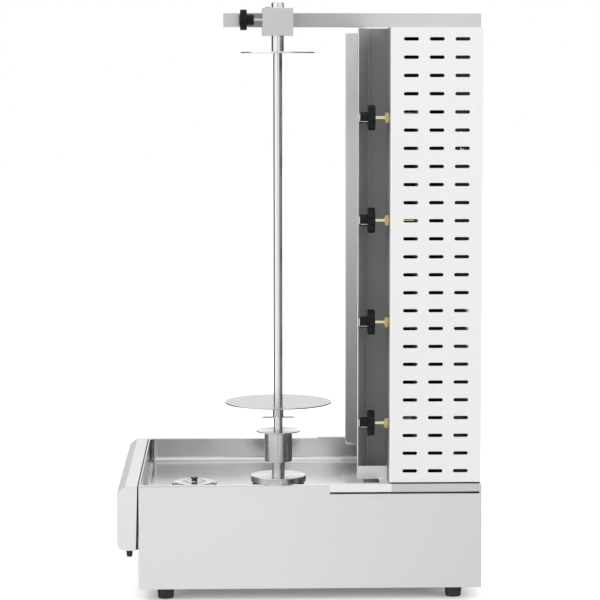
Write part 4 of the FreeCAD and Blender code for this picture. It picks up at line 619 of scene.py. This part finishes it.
# Clamp block with its screws, and the guide sleeve that holds the spit's top.
block_metal = brushed("block_metal", (0.80, 0.80, 0.80), 0.34, (60, 60, 300), 0.02, 0.01)
dark_screw = brushed("dark_screw", (0.10, 0.10, 0.10), 0.35, (500, 500, 500))
screw_steel = brushed("screw_steel", (0.66, 0.66, 0.66), 0.22, (900, 20, 900))
black_plastic = moulded("black_plastic", (0.005, 0.005, 0.006), 0.45)
black_plastic.node_tree.nodes["Principled BSDF"].inputs["Specular IOR Level"].default_value = 0.25
dressed("clamp_block", block_metal, 0.0006, 3)
dressed("clamp_set_screw", dark_screw, 0.0006, 3)
finish(["lock_screw"], screw_steel)
dressed("lock_knob", black_plastic, 0.0009, 3)
dressed("guide_sleeve", bright_steel, 0.0003, 1)


# Burner tower. A carriage that slides on the basin's rims, perforated side panels, a back panel and a lid.
panel_steel = brushed("panel_steel", (0.99, 0.99, 0.99), 0.36, (300, 300, 5), 0.01, 0.01, 0.35)
panel_inside_shade = brushed("panel_inside_shade", (0.22, 0.22, 0.22), 0.5, (500, 500, 5), 0.1, metallic=0.4)
shield_steel = brushed("shield_steel", (0.03, 0.03, 0.03), 0.6, (500, 500, 5), 0.1, metallic=0.3)
low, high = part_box("tower_carriage")
SHADE_FROM = 0.142
in_shade = (SHADE_FROM - low.y) / (high.y - low.y)
carriage_steel = graded(brushed("carriage_steel", (0.98, 0.98, 0.98), 0.42, (4, 4, 300), 0.01, 0.005, 0.35),
                        "Y", low.y, high.y, ((0, 1), (in_shade, 1), (in_shade + 0.01, 0.68), (1, 0.68)))
low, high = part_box("tower_side_right")
SKIN, FRONT_EDGE = 0.0011, 0.0007
# The side panels' inner faces and their faces set in from the outer skin behind the front edge, the back
# panel's inner face and the lid's underside get a dark colour: painted shade inside the tower.
for name, inwards in (("tower_side_right", -1), ("tower_side_left", 1)):
    lined(dressed(name, panel_steel, 0.0003), panel_inside_shade, lambda face: face.normal.x * inwards > 0.5 or
          (abs(face.center.x) < high.x - SKIN and face.center.y > low.y + FRONT_EDGE))
lined(dressed("tower_back_panel", panel_steel, 0.0002), panel_inside_shade, lambda face: face.normal.y < -0.5)
lined(dressed("tower_lid", panel_steel, 0.0003), panel_inside_shade, lambda face: face.normal.z < -0.5)
dressed("tower_carriage", carriage_steel, 0.0003)
finish(["inner_shields"], shield_steel)
low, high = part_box("tower_back_panel")
FROM_SIDE, HEAD_SUNK = 0.009, 0.0008
levels = (low.z + 0.02, low.z + 0.26, low.z + 0.5, high.z - 0.02)
for i, (x, z) in enumerate([(x, z) for x in (low.x + FROM_SIDE, high.x - FROM_SIDE)
                            for z in levels], start=1):
    copied(screw_head, f"panel_screw_{i}", (x, high.y - HEAD_SUNK, z), (0, 1, 0), "tower",
           zinc)


# Burner wings. The bay's sides and flared shields, each with a rolled edge given a brighter tone, a painted
# highlight.
# The right one is given a dark tone and the left one a light tone; the difference is painted light and
# shade. The right one is painted darker behind its flare and the left one darker towards the basin, painted
# shade.
WING_FRONT, WING_BACK, WING_FOOT, WING_TOP, HEM_ENDS = 0.088, 0.141, 0.2, 0.966, 0.0895
wing_steel = graded(brushed("wing_steel", (0.52, 0.52, 0.52), 0.6, (300, 300, 5), 0.01, 0.01, 0.25),
                    "Y", WING_FRONT, WING_BACK, ((0, 0.95), (0.38, 0.95), (0.4, 0.52), (0.975, 0.52),
                                                 (0.985, 0.8), (1, 0.9)))
far_wing_steel = graded(brushed("far_wing_steel", (0.85, 0.85, 0.85), 0.6, (300, 300, 5), 0.01, 0.01, 0.25),
                        "Z", WING_FOOT, WING_TOP, ((0, 0.36), (0.35, 0.62), (0.75, 1), (1, 0.95)))
hem_steel = brushed("hem_steel", (0.9, 0.9, 0.9), 0.3, (500, 500, 5), metallic=0.7)
for name, sheet_steel in (("burner_wing_right", wing_steel), ("burner_wing_left", far_wing_steel)):
    lined(dressed(name, sheet_steel, 0.0003), hem_steel, lambda face: face.center.y < HEM_ENDS)


# Burners. A pressed tray with its mixing tube, perforated ceramic plaques and a wire guard in front.
burner_steel = brushed("burner_steel", (0.45, 0.44, 0.43), 0.35, (300, 300, 6))
BURNERS = (1, 2, 3, 4)
finish([f"burner_{i}" for i in BURNERS], burner_steel)
plaque = bpy.data.materials.new("plaque")
plaque.use_nodes = True
tree = plaque.node_tree
shader = tree.nodes["Principled BSDF"]
shader.inputs["Roughness"].default_value = 0.85
place = tree.nodes.new("ShaderNodeTexCoord")
flat = tree.nodes.new("ShaderNodeVectorMath")
flat.operation = "MULTIPLY"
flat.inputs[1].default_value = (1, 0, 1)
tree.links.new(place.outputs["Object"], flat.inputs[0])
holes = tree.nodes.new("ShaderNodeTexVoronoi")
holes.inputs["Scale"].default_value = 380
holes.inputs["Randomness"].default_value = 0
tree.links.new(flat.outputs[0], holes.inputs["Vector"])
rim = tree.nodes.new("ShaderNodeMapRange")
rim.inputs["From Min"].default_value = 0.24
rim.inputs["From Max"].default_value = 0.30
tree.links.new(holes.outputs["Distance"], rim.inputs["Value"])
mottle = tree.nodes.new("ShaderNodeTexNoise")
mottle.inputs["Scale"].default_value = 60
tree.links.new(place.outputs["Object"], mottle.inputs["Vector"])
clay = tree.nodes.new("ShaderNodeValToRGB")
clay.color_ramp.elements[0].position = 0.3
clay.color_ramp.elements[0].color = (0.42, 0.37, 0.29, 1)
clay.color_ramp.elements[1].position = 0.7
clay.color_ramp.elements[1].color = (0.52, 0.47, 0.38, 1)
tree.links.new(mottle.outputs["Fac"], clay.inputs["Fac"])
# The plaque's holes are painted near black, a painted shade inside them.
pierced = tree.nodes.new("ShaderNodeMix")
pierced.data_type = "RGBA"
pierced.inputs["A"].default_value = (0.05, 0.04, 0.03, 1)
tree.links.new(rim.outputs["Result"], pierced.inputs["Factor"])
tree.links.new(clay.outputs["Color"], pierced.inputs["B"])
tree.links.new(pierced.outputs["Result"], shader.inputs["Base Color"])
bump = tree.nodes.new("ShaderNodeBump")
bump.inputs["Strength"].default_value = 0.6
bump.inputs["Distance"].default_value = 0.0008
tree.links.new(rim.outputs["Result"], bump.inputs["Height"])
tree.links.new(bump.outputs["Normal"], shader.inputs["Normal"])
finish(["ceramic_plaques"], plaque)
guard_wire = brushed("guard_wire", (0.60, 0.58, 0.56), 0.3, (300, 300, 300))
finish(["burner_guards"], guard_wire)


# Gas train. Manifold, taps and injector pipes inside the tower, hex nuts and brass stems ahead of it.
pipe_metal = brushed("pipe_metal", (0.40, 0.41, 0.42), 0.4, (300, 300, 30))
brass = brushed("brass", (0.88, 0.76, 0.50), 0.2, (900, 60, 900), 0.05)
nut_brass = brushed("nut_brass", (0.52, 0.46, 0.20), 0.3, (500, 500, 500), 0.08)
chrome = brushed("chrome", (0.95, 0.95, 0.95), 0.12, (300, 300, 300), 0.01, 0)
dressed("gas_manifold", pipe_metal, 0.0006)
finish(["injector_pipes"], pipe_metal)
finish(["gas_taps"] + [f"tap_plug_{i}" for i in BURNERS] + [f"tap_stem_{i}" for i in BURNERS], brass)
dressed("tap_nuts", nut_brass, 0.0006)
CAP_RADIUS, CAP_THICK = 0.0089, 0.0024
bpy.ops.mesh.primitive_cylinder_add(vertices=40, radius=CAP_RADIUS, depth=CAP_THICK,
                                    location=(0, 0, CAP_THICK / 2))
cap = bpy.context.object
pick(cap, "edges", lambda edge: all(cap.data.vertices[v].co.z > CAP_THICK * 0.8 for v in edge.vertices))
bpy.ops.mesh.bevel(offset=0.0006, segments=3)
pick(cap, "polygons", lambda face: face.normal.z > 0.99)
bpy.ops.mesh.inset(thickness=0.0012, depth=-0.0003)
bpy.ops.mesh.inset(thickness=0.002, depth=0.0005)
settle(cap, 30)
# Each knob gets a thin chrome strip along the lower side of its hub, standing for the highlight on the hub's
# ridge: a painted highlight.
BOSS_RADIUS, HIGHLIGHT_TURN, HIGHLIGHT_DEEP = 0.0096, math.radians(-41), 0.0078
HIGHLIGHT_HEIGHT, HIGHLIGHT_WIDTH, HIGHLIGHT_LENGTH = 0.0012, 0.0013, 0.0135
bpy.ops.mesh.primitive_cube_add(size=1, scale=(HIGHLIGHT_HEIGHT, HIGHLIGHT_WIDTH, HIGHLIGHT_LENGTH),
                                rotation=(0, 0, HIGHLIGHT_TURN),
                                location=(BOSS_RADIUS * math.cos(HIGHLIGHT_TURN),
                                          BOSS_RADIUS * math.sin(HIGHLIGHT_TURN), -HIGHLIGHT_DEEP))
highlight_strip = bpy.context.object
bpy.ops.object.transform_apply(location=True, rotation=True, scale=True)
pick(highlight_strip, "edges", lambda edge: True)
bpy.ops.mesh.bevel(offset=0.0003, segments=2)
settle(highlight_strip, 30)
for i in BURNERS:
    dressed(f"burner_knob_{i}", black_plastic, 0.0009, 3)
    low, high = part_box(f"burner_knob_{i}")
    middle = (low + high) / 2
    for template, name in ((cap, "knob_cap"), (highlight_strip, "knob_index")):
        copied(template, f"{name}_{i}", (middle.x, low.y + CAP_THICK / 2, middle.z), (0, -1, 0),
               f"knob_{i}", chrome)
for template in (cap, highlight_strip):
    bpy.data.objects.remove(template)


# Motor switch and supply gland on the back of the base.
switch_red = moulded("switch_red", (0.45, 0.02, 0.015), 0.3)
dressed("switch_housing", black_plastic, 0.0006, 3)
dressed("supply_gland", black_plastic, 0.0006, 3)
dressed("switch_rocker", switch_red, 0.0004)
for template in (screw_head, bolt_head):
    bpy.data.objects.remove(template)
